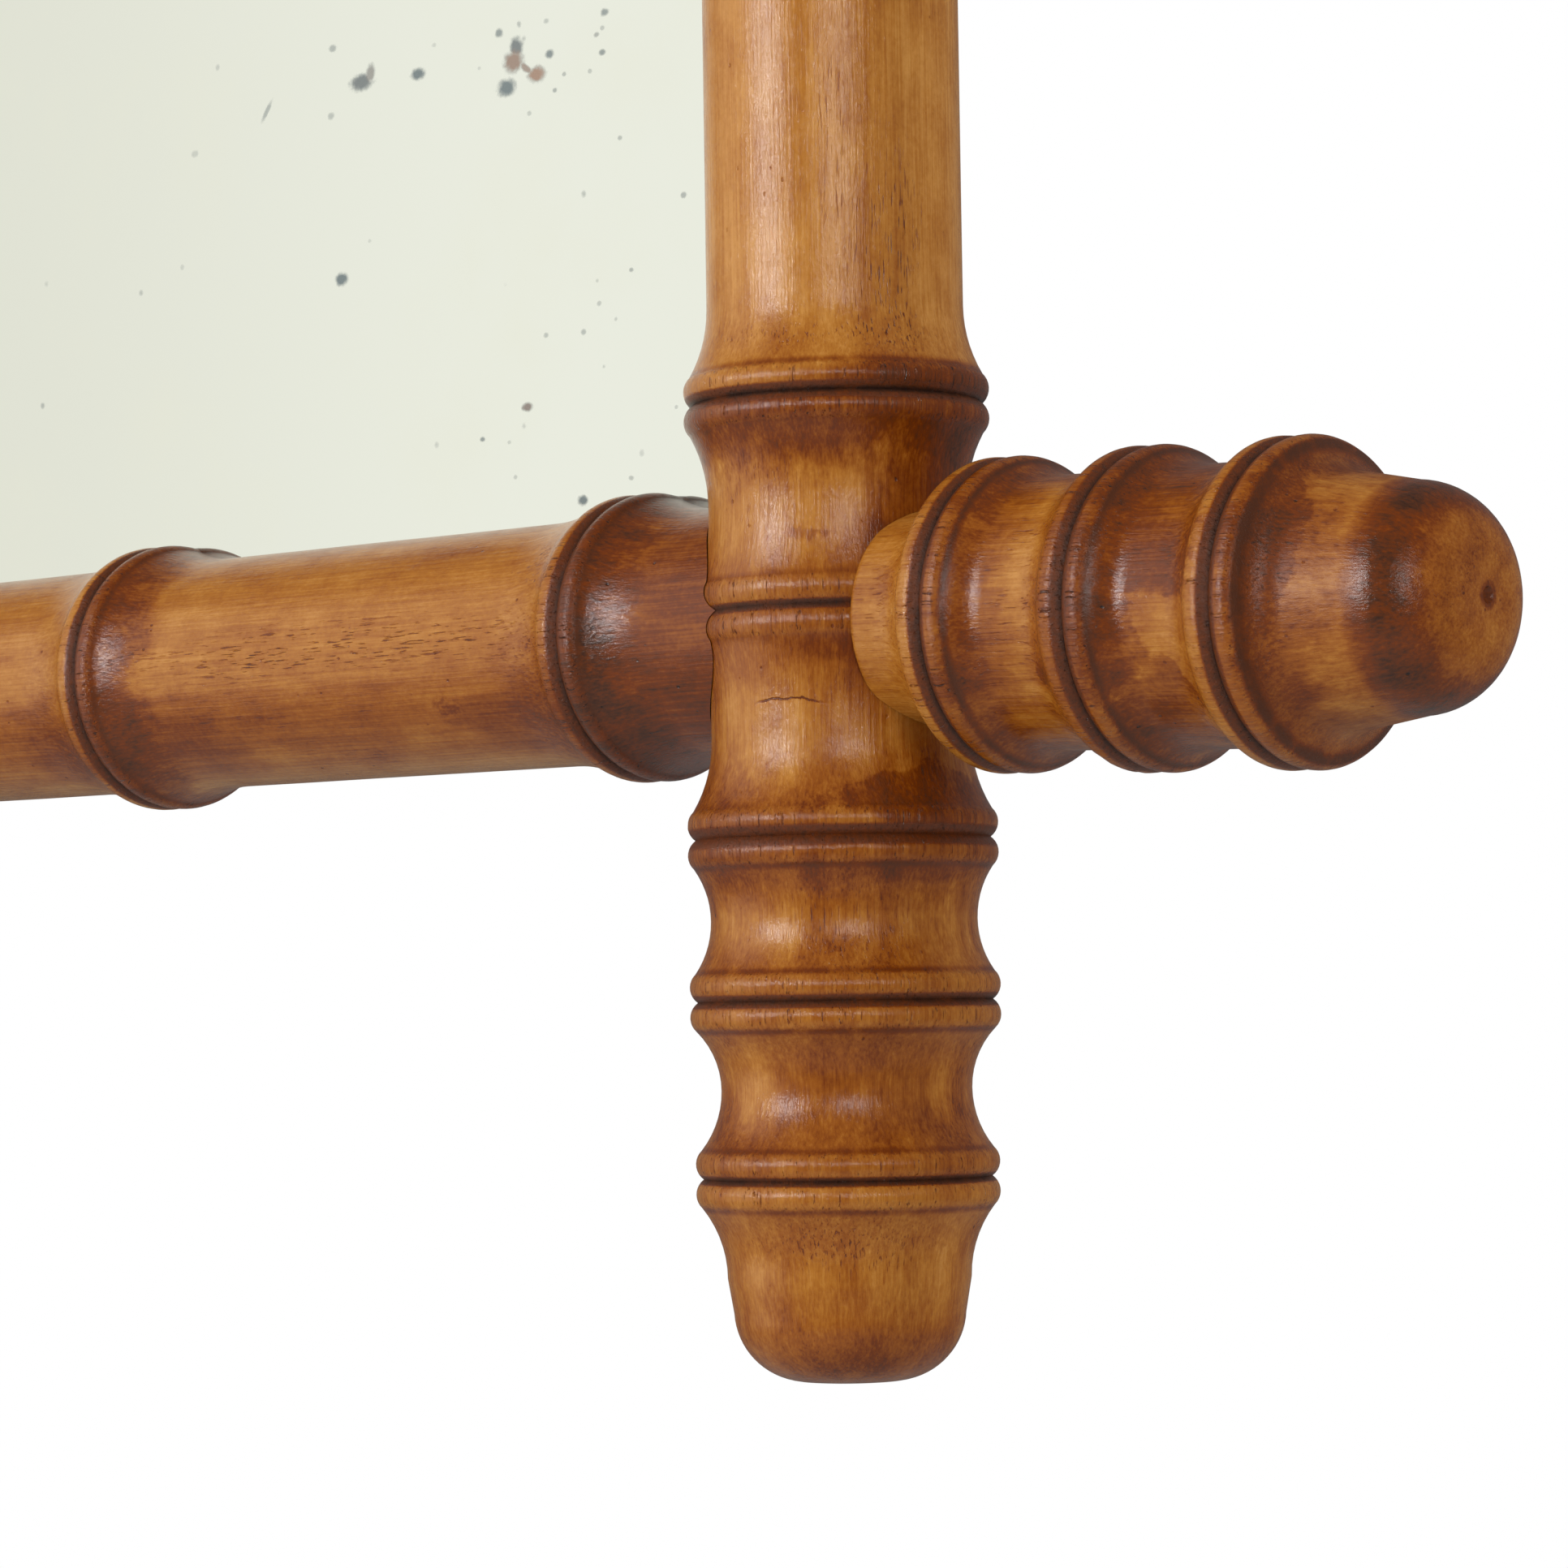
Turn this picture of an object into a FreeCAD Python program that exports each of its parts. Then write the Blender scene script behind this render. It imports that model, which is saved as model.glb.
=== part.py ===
import FreeCAD, Part
import math
import os

# Wall mirror in a frame of turned wooden poles that imitate bamboo.
# Millimetres, +X to the viewer's right, +Y into the wall, +Z up.
# The origin is the middle of the bottom rail's planed back, which lies on the wall.

# Frame layout
stile_axis_span = 480.8
rail_axis_span = 673.6
stile_shaft_count = 6
rail_shaft_count = 4

# Turned rings, each a pair of beads with a groove between
bead_width = 4.1
groove_depth = 1.05
bead_edge_drop = 0.8

# Stiles
stile_ring_radius = 20.9
stile_shaft_drop = 3.35
stile_flare_run = 9.6
crossing_drop = 3.2
corner_ring_above = 29.6
middle_ring_above = 1.3
middle_ring_drop = 1.7
middle_bead_width = 4.6
middle_groove_depth = 0.8
middle_bead_edge_drop = 0.45
finial_ring_radius = 21.15
finial_ring_drops = (0.0, 0.0, 0.5)
finial_ring_belows = (29.5, 51.5, 75.4)
finial_waist_drops = (3.0, 4.1)
finial_nose_length = 27.4
finial_nose_root_drop = 4.6
finial_nose_shoulder_drop = 5.4
finial_nose_rounding = 9.2
finial_nose_flat_radius = 5.6

# Rails
rail_ring_radius = 20.35
rail_shaft_drop = 2.9
rail_neck_drop = 3.2
rail_flare_run = 12.0
rail_end_ring_offset = 35.2
tenon_radius = 8.0
tenon_length = 14.0
tenon_fit = 0.05
tenon_end_room = 0.5

# Horns, measured outwards from the stile's axis
horn_ring_radius = 21.2
horn_ring_drops = (0.2, 0.0, 0.0)
horn_ring_offsets = (31.3, 55.1, 78.3)
horn_waist_drops = (3.1, 2.9)
horn_flare_run = 5.2
horn_end_offset = 13.9
horn_neck_radius = 14.6
horn_end_rounding = 1.6
horn_neck_length = 4.3
horn_nose_length = 27.6
horn_nose_root_drop = 5.0
horn_nose_shoulder_drop = 6.5
horn_nose_rounding = 9.8
horn_nose_flat_radius = 4.0
horn_splay_degrees = 1.75
scribe_gap = 0.12

# Lathe centre marks in the turned ends
centre_mark_radius = 1.1
centre_mark_depth = 1.6

# Horn dowels
dowel_radius = 5.0
dowel_in_stile = 10.0
dowel_in_horn = 16.0
dowel_chamfer = 0.8
dowel_fit = 0.05
dowel_end_room = 0.5

# Planed back and glazing rabbet of the poles
planed_depth = 1.65
rabbet_land = 8.0
glass_behind_axis = 3.0

# Glass, wedges and back boards
glass_thickness = 3.0
glass_play = 2.5
wedge_length = 32.0
wedge_thin_end = 1.2
wedge_fit = 0.1
wedge_side_shares = (0.18, 0.82)
board_count = 3
board_thickness = 7.0
board_gap = 0.3
board_edge_play = 0.5
board_joint_gap = 0.4

# Headless brads in the rabbet wall, lying on the boards
brad_radius = 0.7
brad_in_pole = 9.0
brad_over_board = 9.0
brad_fit = 0.03
brad_lift = 0.05
brad_stile_shares = (0.08, 0.36, 0.64, 0.92)
brad_rail_shares = (0.17, 0.5, 0.83)

# Strap hangers on the backs of the stiles
hanger_below_top_rail = 66.0
strap_width = 12.0
strap_thickness = 1.2
strap_length = 38.0
ring_wire_radius = 1.3
ring_half_width = 10.0
ring_leg_height = 8.0
ring_corner_radius = 3.0
ring_lean_degrees = 2.5
ring_pin_fit = 0.05

# Hanger screws
screw_radius = 1.5
screw_length = 13.0
screw_head_radius = 2.9
screw_head_height = 1.5
screw_slot_width = 0.8
screw_slot_depth = 0.7
screw_pilot_fit = 0.05
screw_strap_fit = 0.2
screw_belows = (10.0, 28.0)

# Overrun of every cutting tool past the face that it cuts
overrun = 5.0

quarter_turn = 90
half_turn = 180
full_turn = 360
arc_mid_share = math.sqrt(0.5)

across = FreeCAD.Vector(1, 0, 0)
inward = FreeCAD.Vector(0, 1, 0)
upward = FreeCAD.Vector(0, 0, 1)
origin = FreeCAD.Vector(0, 0, 0)

# Places that follow from the sizes
stile_shaft_radius = stile_ring_radius - stile_shaft_drop
crossing_radius = stile_ring_radius - crossing_drop
axis_y = planed_depth - stile_shaft_radius
stile_x = stile_axis_span / 2
frame_middle_z = rail_axis_span / 2
glass_front_y = axis_y + glass_behind_axis
glass_back_y = glass_front_y + glass_thickness
board_front_y = glass_back_y + board_gap
board_back_y = board_front_y + board_thickness
rabbet_half_width = stile_x - rabbet_land
rabbet_low_z = rabbet_land
rabbet_high_z = rail_axis_span - rabbet_land
rabbet_height = rabbet_high_z - rabbet_low_z
hanger_z = rail_axis_span - hanger_below_top_rail


def section_point(along, radius):
    """A point of a turned piece's half section, whose axis is Z."""
    return FreeCAD.Vector(radius, 0, along)


def line(start, end):
    """A straight edge between two (along, radius) points."""
    return Part.LineSegment(section_point(*start), section_point(*end)).toShape()


def arc(start, middle, end):
    """A round edge through three (along, radius) points."""
    return Part.Arc(section_point(*start), section_point(*middle), section_point(*end)).toShape()


def flare(edge, foot):
    """The hollow sweep from a ring's edge down to a waist, level where it meets the waist."""
    run = foot[0] - edge[0]
    rise = edge[1] - foot[1]
    radius = (run * run + rise * rise) / (2 * rise)
    half_angle = math.asin(run / radius) / 2
    middle = (foot[0] - radius * math.sin(half_angle), foot[1] + radius * (1 - math.cos(half_angle)))
    return arc(edge, middle, foot)


class Ring:
    """A bamboo joint: two beads with a groove between, at a place along the turned axis."""

    def __init__(self, centre, crest, width=bead_width, depth=groove_depth, edge_drop=bead_edge_drop):
        self.centre = centre
        self.crest = crest
        self.width = width
        self.depth = depth
        self.edge_drop = edge_drop

    def resized(self, centre, crest):
        """A ring with the same beads at another place and with another crest radius."""
        return Ring(centre, crest, self.width, self.depth, self.edge_drop)

    def reach(self):
        """How far the outer edges, which lie on the beads' round, are from the groove."""
        half = self.width / 2
        bead_radius = (half * half + self.depth * self.depth) / (2 * self.depth)
        return half + math.sqrt(self.edge_drop * (2 * bead_radius - self.edge_drop))

    def low(self):
        return (self.centre - self.reach(), self.crest - self.edge_drop)

    def high(self):
        return (self.centre + self.reach(), self.crest - self.edge_drop)

    def edges(self):
        groove = (self.centre, self.crest - self.depth)
        low_crest = (self.centre - self.width / 2, self.crest)
        high_crest = (self.centre + self.width / 2, self.crest)
        return [arc(self.low(), low_crest, groove), arc(groove, high_crest, self.high())]


def waist_edges(low, high, radius, flare_run):
    """The stretch between two ring edges: a flare at each end and a straight shaft where there is room."""
    half = (high[0] - low[0]) / 2
    run = min(flare_run, half)
    low_foot = (low[0] + run, radius)
    high_foot = (high[0] - run, radius)
    edges = [flare(low, low_foot), flare(high, high_foot)]
    if run < half:
        edges.append(line(low_foot, high_foot))
    return edges


def nose_edges(ring, outward, flare_run, length, root, shoulder, rounding, flat):
    """A turned end beyond its last ring: flare, slight taper, rounded shoulder and a small flat."""
    end = ring.centre + outward * length
    edge = ring.high() if outward > 0 else ring.low()
    root_point = (edge[0] + outward * flare_run, root)
    shoulder_point = (end - outward * rounding, shoulder)
    middle = (
        shoulder_point[0] + outward * rounding * arc_mid_share,
        flat + (shoulder - flat) * arc_mid_share,
    )
    return [
        flare(edge, root_point),
        line(root_point, shoulder_point),
        arc(shoulder_point, middle, (end, flat)),
        line((end, flat), (end, 0)),
    ]


def turned(edges, low, high):
    """Revolves a half section, closed along its axis, about Z."""
    outline = Part.Wire(Part.__sortEdges__(edges + [line((low, 0), (high, 0))]))
    return Part.Face(outline).revolve(origin, upward, full_turn)


def moved(shape, x, y, z):
    """A copy of the shape shifted by x, y and z."""
    copy = shape.copy()
    copy.translate(FreeCAD.Vector(x, y, z))
    return copy


def box(low, high):
    """A block between two corners, each (x, y, z)."""
    size = [h - l for l, h in zip(low, high)]
    return Part.makeBox(*size, FreeCAD.Vector(*low))


def left_of(shape):
    """The mirror image on the frame's left half."""
    return shape.mirror(origin, across)


def top_of(shape):
    """The mirror image on the frame's upper half."""
    return shape.mirror(FreeCAD.Vector(0, 0, frame_middle_z), upward)


def centre_mark(end, outward):
    """The dent that the lathe's centre left in a turned end, on the Z axis."""
    return Part.makeCone(
        centre_mark_radius, 0, centre_mark_depth, section_point(end, 0), upward * -outward
    )


def planing():
    """What the plane took off the backs of the poles."""
    reach = stile_axis_span + rail_axis_span
    return box((-reach, 0, -reach), (reach, reach, reach))


def rabbet():
    """The space that the glazing rabbet opens behind the poles' inner edges."""
    return box(
        (-rabbet_half_width, glass_front_y, rabbet_low_z),
        (rabbet_half_width, overrun, rabbet_high_z),
    )


# Turned sections

finial_rings = [
    Ring(-below, finial_ring_radius - drop) for below, drop in zip(finial_ring_belows, finial_ring_drops)
]
middle_ring = Ring(
    middle_ring_above,
    stile_ring_radius - middle_ring_drop,
    middle_bead_width,
    middle_groove_depth,
    middle_bead_edge_drop,
)


def stile_rings():
    """The rings of a whole stile from the bottom up, each with the radius of the waist above it."""
    waists = [finial_ring_radius - drop for drop in finial_waist_drops]
    lower = list(zip(reversed(finial_rings), list(reversed(waists)) + [crossing_radius]))
    lower.append((middle_ring, crossing_radius))
    pitch = (rail_axis_span - 2 * corner_ring_above) / stile_shaft_count
    shafts = [
        (Ring(corner_ring_above + pitch * step, stile_ring_radius), stile_shaft_radius)
        for step in range(stile_shaft_count)
    ]
    top_ring = Ring(rail_axis_span - corner_ring_above, stile_ring_radius)
    upper = [(top_ring, crossing_radius)]
    for index in range(len(lower) - 1, -1, -1):
        ring = lower[index][0]
        waist_above = lower[index - 1][1] if index else None
        upper.append((ring.resized(rail_axis_span - ring.centre, ring.crest), waist_above))
    return lower + shafts + upper


def stile_turning():
    """The round stile on the Z axis, before any cut."""
    rings = stile_rings()
    edges = []
    for (ring, waist), (following, _) in zip(rings, rings[1:]):
        edges += ring.edges() + waist_edges(ring.high(), following.low(), waist, stile_flare_run)
    last = rings[-1][0]
    edges += last.edges()
    nose = (
        stile_flare_run,
        finial_nose_length,
        finial_ring_radius - finial_nose_root_drop,
        finial_ring_radius - finial_nose_shoulder_drop,
        finial_nose_rounding,
        finial_nose_flat_radius,
    )
    first = rings[0][0]
    edges += nose_edges(first, -1, *nose) + nose_edges(last, 1, *nose)
    low = first.centre - finial_nose_length
    high = last.centre + finial_nose_length
    return turned(edges, low, high).cut([centre_mark(low, -1), centre_mark(high, 1)])


def crossing_body():
    """The stretch of a stile that rails and horns are scribed to, grown by the scribe gap, on the Z axis."""
    grown = [
        ring.resized(ring.centre, ring.crest + scribe_gap)
        for ring in (finial_rings[0], middle_ring, Ring(corner_ring_above, stile_ring_radius))
    ]
    waist = crossing_radius + scribe_gap
    edges = []
    for ring, following in zip(grown, grown[1:]):
        edges += ring.edges() + waist_edges(ring.high(), following.low(), waist, stile_flare_run)
    edges += grown[-1].edges()
    low = grown[0].low()
    high = grown[-1].high()
    edges += [line((low[0], 0), low), line(high, (high[0], 0))]
    return turned(edges, low[0], high[0])


def rail_turning():
    """The round rail along X, centred, running to the stiles' axes before its ends are scribed."""
    pitch = (stile_axis_span - 2 * rail_end_ring_offset) / rail_shaft_count
    first = rail_end_ring_offset - stile_x
    rings = [Ring(first + pitch * step, rail_ring_radius) for step in range(rail_shaft_count + 1)]
    shaft = rail_ring_radius - rail_shaft_drop
    neck = rail_ring_radius - rail_neck_drop
    edges = []
    for ring, following in zip(rings, rings[1:]):
        edges += ring.edges() + waist_edges(ring.high(), following.low(), shaft, rail_flare_run)
    edges += rings[-1].edges()
    for edge, outward in ((rings[0].low(), -1), (rings[-1].high(), 1)):
        foot = (edge[0] + outward * rail_flare_run, neck)
        end = (outward * stile_x, neck)
        edges += [flare(edge, foot), line(foot, end), line(end, (end[0], 0))]
    solid = turned(edges, -stile_x, stile_x)
    solid.rotate(origin, inward, quarter_turn)
    return solid


def horn_turning():
    """The round horn on the Z axis, with the stile's axis at zero."""
    rings = [
        Ring(offset, horn_ring_radius - drop) for offset, drop in zip(horn_ring_offsets, horn_ring_drops)
    ]
    waists = [horn_ring_radius - drop for drop in horn_waist_drops]
    edges = []
    for ring, following, waist in zip(rings, rings[1:], waists):
        edges += ring.edges() + waist_edges(ring.high(), following.low(), waist, horn_flare_run)
    edges += rings[-1].edges()
    edges += nose_edges(
        rings[-1],
        1,
        horn_flare_run,
        horn_nose_length,
        horn_ring_radius - horn_nose_root_drop,
        horn_ring_radius - horn_nose_shoulder_drop,
        horn_nose_rounding,
        horn_nose_flat_radius,
    )
    face_radius = horn_neck_radius - horn_end_rounding
    rounding_end = (horn_end_offset + horn_end_rounding, horn_neck_radius)
    rounding_middle = (
        horn_end_offset + horn_end_rounding * (1 - arc_mid_share),
        face_radius + horn_end_rounding * arc_mid_share,
    )
    neck_end = (horn_end_offset + horn_neck_length, horn_neck_radius)
    edges += [
        line((horn_end_offset, 0), (horn_end_offset, face_radius)),
        arc((horn_end_offset, face_radius), rounding_middle, rounding_end),
        line(rounding_end, neck_end),
        flare(rings[0].low(), neck_end),
    ]
    tip = rings[-1].centre + horn_nose_length
    return turned(edges, horn_end_offset, tip).cut(centre_mark(tip, 1))


def on_horn_axis(shape):
    """Lays a shape made along Z, with the stile's axis at zero, along the lower right horn's axis."""
    copy = shape.copy()
    copy.rotate(origin, inward, quarter_turn + horn_splay_degrees)
    copy.translate(FreeCAD.Vector(stile_x, axis_y, 0))
    return copy


def dowel_cylinder(radius, end_room):
    """A cylinder where the lower right horn's dowel lies."""
    low = crossing_radius - dowel_in_stile - end_room
    length = dowel_in_stile + dowel_in_horn + 2 * end_room
    return Part.makeCylinder(radius, length, section_point(low, 0), upward)


def dowel():
    """The lower right horn's dowel, with its ends chamfered."""
    solid = dowel_cylinder(dowel_radius, 0)
    ends = [e for e in solid.Edges if e.Curve.TypeId == "Part::GeomCircle"]
    return on_horn_axis(solid.makeChamfer(dowel_chamfer, ends))


def tenon(radius, end_room, z):
    """The round tenon on the right end of the rail at height z, or with end room its mortise."""
    start = stile_x - rail_end_ring_offset
    tip = stile_x - crossing_radius + tenon_length + end_room
    return Part.makeCylinder(radius, tip - start, FreeCAD.Vector(start, axis_y, z), across)


def brad_places():
    """Where each brad starts inside a pole, and which way it runs out over the boards."""
    y = board_back_y + brad_lift + brad_radius
    places = []
    for share in brad_stile_shares:
        z = rabbet_low_z + rabbet_height * share
        places.append((FreeCAD.Vector(rabbet_half_width + brad_in_pole, y, z), -across))
        places.append((FreeCAD.Vector(-rabbet_half_width - brad_in_pole, y, z), across))
    for share in brad_rail_shares:
        x = rabbet_half_width * (2 * share - 1)
        places.append((FreeCAD.Vector(x, y, rabbet_low_z - brad_in_pole), upward))
        places.append((FreeCAD.Vector(x, y, rabbet_high_z + brad_in_pole), -upward))
    return places


def brads(radius):
    """All the brads, or with a larger radius the holes that they sit in."""
    length = brad_in_pole + brad_over_board
    return [Part.makeCylinder(radius, length, place, direction) for place, direction in brad_places()]


def screw_points():
    """Where the right hanger's screws enter the strap's face."""
    return [FreeCAD.Vector(stile_x, strap_thickness, hanger_z - below) for below in screw_belows]


# Pieces, those of the right and lower side where the frame mirrors them


def stile_right():
    """The right stile with its mortises, dowel holes, rabbet, planed back and fixing holes."""
    solid = moved(stile_turning(), stile_x, axis_y, 0)
    mortise = tenon(tenon_radius + tenon_fit, tenon_end_room, 0)
    dowel_hole = on_horn_axis(dowel_cylinder(dowel_radius + dowel_fit, dowel_end_room))
    pilots = [
        Part.makeCylinder(screw_radius + screw_pilot_fit, screw_length + overrun, place, -inward)
        for place in screw_points()
    ]
    cuts = [mortise, top_of(mortise), dowel_hole, top_of(dowel_hole), rabbet(), planing()]
    return solid.cut(cuts + pilots + brads(brad_radius + brad_fit))


def rail(z):
    """The rail at height z, scribed to both stiles, with its tenons, rabbet and planed back."""
    solid = moved(rail_turning(), 0, axis_y, z)
    crossing = moved(crossing_body(), stile_x, axis_y, 0)
    scribe = crossing if z == 0 else top_of(crossing)
    solid = solid.cut([scribe, left_of(scribe)])
    peg = tenon(tenon_radius, 0, z)
    solid = solid.fuse([peg, left_of(peg)]).removeSplitter()
    return solid.cut([rabbet(), planing()] + brads(brad_radius + brad_fit))


def horn_bottom_right():
    """The lower right horn, scribed over the stile, bored for its dowel and planed behind."""
    scribe = moved(crossing_body(), stile_x, axis_y, 0)
    hole = on_horn_axis(dowel_cylinder(dowel_radius + dowel_fit, dowel_end_room))
    return on_horn_axis(horn_turning()).cut([scribe, hole, planing()])


def mirror_glass():
    """The silvered glass plate, with play all round in the rabbet."""
    half = rabbet_half_width - glass_play
    return box(
        (-half, glass_front_y, rabbet_low_z + glass_play),
        (half, glass_back_y, rabbet_high_z - glass_play),
    )


def wedge(at, along, outwards):
    """One tapered block with its flat side on the rabbet wall, starting at a point of that wall."""
    thick = glass_play - wedge_fit
    corners = [
        at,
        at + along * wedge_length,
        at + along * wedge_length - outwards * wedge_thin_end,
        at - outwards * thick,
    ]
    face = Part.Face(Part.makePolygon(corners + [at]))
    return face.extrude(inward * glass_thickness)


def glass_wedges():
    """The wedges between the glass and the rabbet walls, two on each side."""
    solids = []
    for share in wedge_side_shares:
        z = rabbet_low_z + rabbet_height * share
        x = rabbet_half_width * (2 * share - 1)
        for side in (-1, 1):
            start = FreeCAD.Vector(side * rabbet_half_width, glass_front_y, z)
            solids.append(wedge(start, upward, across * side))
        for wall, side in ((rabbet_low_z, -1), (rabbet_high_z, 1)):
            start = FreeCAD.Vector(x, glass_front_y, wall)
            solids.append(wedge(start, across, upward * side))
    return Part.makeCompound(solids)


def back_board(index):
    """One upright board behind the glass, counted from the left."""
    room = 2 * (rabbet_half_width - board_edge_play) - board_joint_gap * (board_count - 1)
    width = room / board_count
    left = board_edge_play - rabbet_half_width + index * (width + board_joint_gap)
    return box(
        (left, board_front_y, rabbet_low_z + board_edge_play),
        (left + width, board_back_y, rabbet_high_z - board_edge_play),
    )


def barrel_axis_y():
    """How far behind the planed back the hanger ring's pin lies."""
    return ring_wire_radius + ring_pin_fit + strap_thickness


def hanger_strap_right():
    """The right strap: a plate with a round foot, rolled into a barrel at its upper end."""
    half = strap_width / 2
    y = barrel_axis_y()
    plate = box((-half, 0, half - strap_length), (half, strap_thickness, 0))
    foot = Part.makeCylinder(half, strap_thickness, FreeCAD.Vector(0, 0, half - strap_length), inward)
    start = FreeCAD.Vector(-half, y, 0)
    barrel = Part.makeCylinder(y, strap_width, start, across)
    bore = Part.makeCylinder(ring_wire_radius + ring_pin_fit, strap_width, start, across)
    hole_radius = screw_radius + screw_strap_fit
    holes = [
        Part.makeCylinder(hole_radius, strap_thickness, FreeCAD.Vector(0, 0, -below), inward)
        for below in screw_belows
    ]
    solid = plate.fuse([foot, barrel]).removeSplitter().cut([bore] + holes)
    return moved(solid, stile_x, 0, hanger_z)


def hanger_ring_right():
    """The right ring: a straight pin in the barrel, two legs and a round bow, leaning on the frame."""
    corner = ring_corner_radius
    half = ring_half_width
    inner = half - corner
    pin_low = FreeCAD.Vector(-inner, 0, 0)
    leg = ring_leg_height - corner
    pieces = [Part.makeCylinder(ring_wire_radius, 2 * inner, pin_low, across)]
    for side in (-1, 1):
        foot = FreeCAD.Vector(side * half, 0, corner)
        pieces.append(Part.makeCylinder(ring_wire_radius, leg, foot, upward))
        section = Part.Face(Part.Wire(Part.makeCircle(ring_wire_radius, foot, upward)))
        bend_centre = FreeCAD.Vector(side * inner, 0, corner)
        pieces.append(section.revolve(bend_centre, inward * side, quarter_turn))
    bow_start = FreeCAD.Vector(half, 0, ring_leg_height)
    bow_section = Part.Face(Part.Wire(Part.makeCircle(ring_wire_radius, bow_start, upward)))
    bow_centre = FreeCAD.Vector(0, 0, ring_leg_height)
    pieces.append(bow_section.revolve(bow_centre, -inward, half_turn))
    ring = pieces[0].fuse(pieces[1:]).removeSplitter()
    ring.rotate(origin, across, ring_lean_degrees)
    return moved(ring, stile_x, barrel_axis_y(), hanger_z)


def hanger_screws_right():
    """The right strap's two slotted screws."""
    solids = []
    for place in screw_points():
        shank = Part.makeCylinder(screw_radius, screw_length, place, -inward)
        head_edge = screw_head_radius * arc_mid_share
        head = Part.makeCone(screw_head_radius, head_edge, screw_head_height, place, inward)
        half = screw_slot_width / 2
        slot_floor = place.y + screw_head_height - screw_slot_depth
        slot = box(
            (place.x - screw_head_radius, slot_floor, place.z - half),
            (place.x + screw_head_radius, slot_floor + overrun, place.z + half),
        )
        solids.append(shank.fuse(head).removeSplitter().cut(slot))
    return Part.makeCompound(solids)


def all_pieces():
    """Every piece of the mirror by its name."""
    stile = stile_right()
    horn = horn_bottom_right()
    peg = dowel()
    strap = hanger_strap_right()
    ring = hanger_ring_right()
    screws = hanger_screws_right()
    pieces = {
        "stile_right": stile,
        "stile_left": left_of(stile),
        "rail_bottom": rail(0),
        "rail_top": rail(rail_axis_span),
        "mirror_glass": mirror_glass(),
        "glass_wedges": glass_wedges(),
        "back_board_brads": Part.makeCompound(brads(brad_radius)),
        "hanger_strap_right": strap,
        "hanger_strap_left": left_of(strap),
        "hanger_ring_right": ring,
        "hanger_ring_left": left_of(ring),
        "hanger_screws_right": screws,
        "hanger_screws_left": left_of(screws),
    }
    for name, shape in (("horn", horn), ("horn_dowel", peg)):
        pieces[name + "_bottom_right"] = shape
        pieces[name + "_bottom_left"] = left_of(shape)
        pieces[name + "_top_right"] = top_of(shape)
        pieces[name + "_top_left"] = left_of(top_of(shape))
    for index, side in enumerate(("left", "middle", "right")):
        pieces["back_board_" + side] = back_board(index)
    return pieces


os.makedirs("parts", exist_ok=True)
for name, shape in all_pieces().items():
    shape.exportStep("parts/" + name + ".step")
    print(name, len(shape.Solids), "solids", round(shape.Volume), "mm3", shape.isValid())
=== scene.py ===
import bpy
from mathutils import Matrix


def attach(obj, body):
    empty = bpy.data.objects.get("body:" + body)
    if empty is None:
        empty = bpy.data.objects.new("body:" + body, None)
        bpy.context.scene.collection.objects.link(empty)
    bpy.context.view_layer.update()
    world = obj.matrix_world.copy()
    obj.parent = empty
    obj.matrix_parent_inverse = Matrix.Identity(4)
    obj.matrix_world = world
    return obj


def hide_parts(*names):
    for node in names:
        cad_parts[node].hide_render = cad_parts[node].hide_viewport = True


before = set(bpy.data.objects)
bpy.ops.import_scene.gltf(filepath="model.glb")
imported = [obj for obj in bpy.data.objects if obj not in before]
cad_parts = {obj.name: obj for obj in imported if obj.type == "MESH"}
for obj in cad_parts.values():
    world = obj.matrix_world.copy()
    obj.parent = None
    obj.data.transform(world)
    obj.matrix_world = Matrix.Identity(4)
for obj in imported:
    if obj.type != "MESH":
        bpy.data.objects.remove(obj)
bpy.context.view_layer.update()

import itertools
import logging
import math
from dataclasses import dataclass, field, replace
from enum import Enum
from typing import Any, Optional, Sequence, Union

import bmesh
import bpy
import numpy as np
from mathutils import Matrix, Vector, noise

log = logging.getLogger("mirror")

# One millimetre in scene units; every size below is in millimetres.
MM = 0.001

Point = tuple[float, float]
Colour = tuple[float, float, float]
Number = Union[int, float]


class Body(Enum):
    """The rigid bodies that pieces ride on."""

    FRAME = "frame"


class Slot(Enum):
    """Material slots of the record."""

    POLE = "stained_pole"


class Side(Enum):
    """Left and right halves of the frame, as the sign of X."""

    LEFT = -1
    RIGHT = 1


class Level(Enum):
    """Lower and upper halves of the frame, as the sign of the outward direction."""

    BOTTOM = -1
    TOP = 1


class Mark(Enum):
    """What a blot does to the wood, as its place among the painted values."""

    # TONE carries stain and also painted light and shade
    TONE = 0
    PATCH = 1
    PORES = 2
    DULL = 3


@dataclass(frozen=True)
class Layout:
    """Where the poles cross, and the planes that they share.

    Attributes:
        stile_x: Distance of a stile's axis from the middle.
        rail_span: Height between the rails' axes.
        axis_y: Depth of all pole axes before the wall plane.
        rabbet_land: Distance of the rabbet wall from a pole's axis.
        glass_y: Depth of the glass front.
        scribe_gap: Room between a scribed end and the stile.
        cut_past: How far the rabbet's cut runs past the wall plane.
    """

    stile_x: float = 240.4
    rail_span: float = 673.6
    axis_y: float = -15.9
    rabbet_land: float = 8.0
    glass_y: float = -12.9
    scribe_gap: float = 0.12
    cut_past: float = 5.0


LAYOUT = Layout()

# Steps round a solid that poles are scribed with
CUTTER_SEGMENTS = 96

# Painted values where no crack is near, and at most beside a ring, in half widths of the ring
NO_CRACK = 9.0
FAR_FROM_RINGS = 12

# How far one pole's wood lies from the next one's in the patterns
SEED_SHIFT = (37, 11, 53)


# Shader graphs


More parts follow.
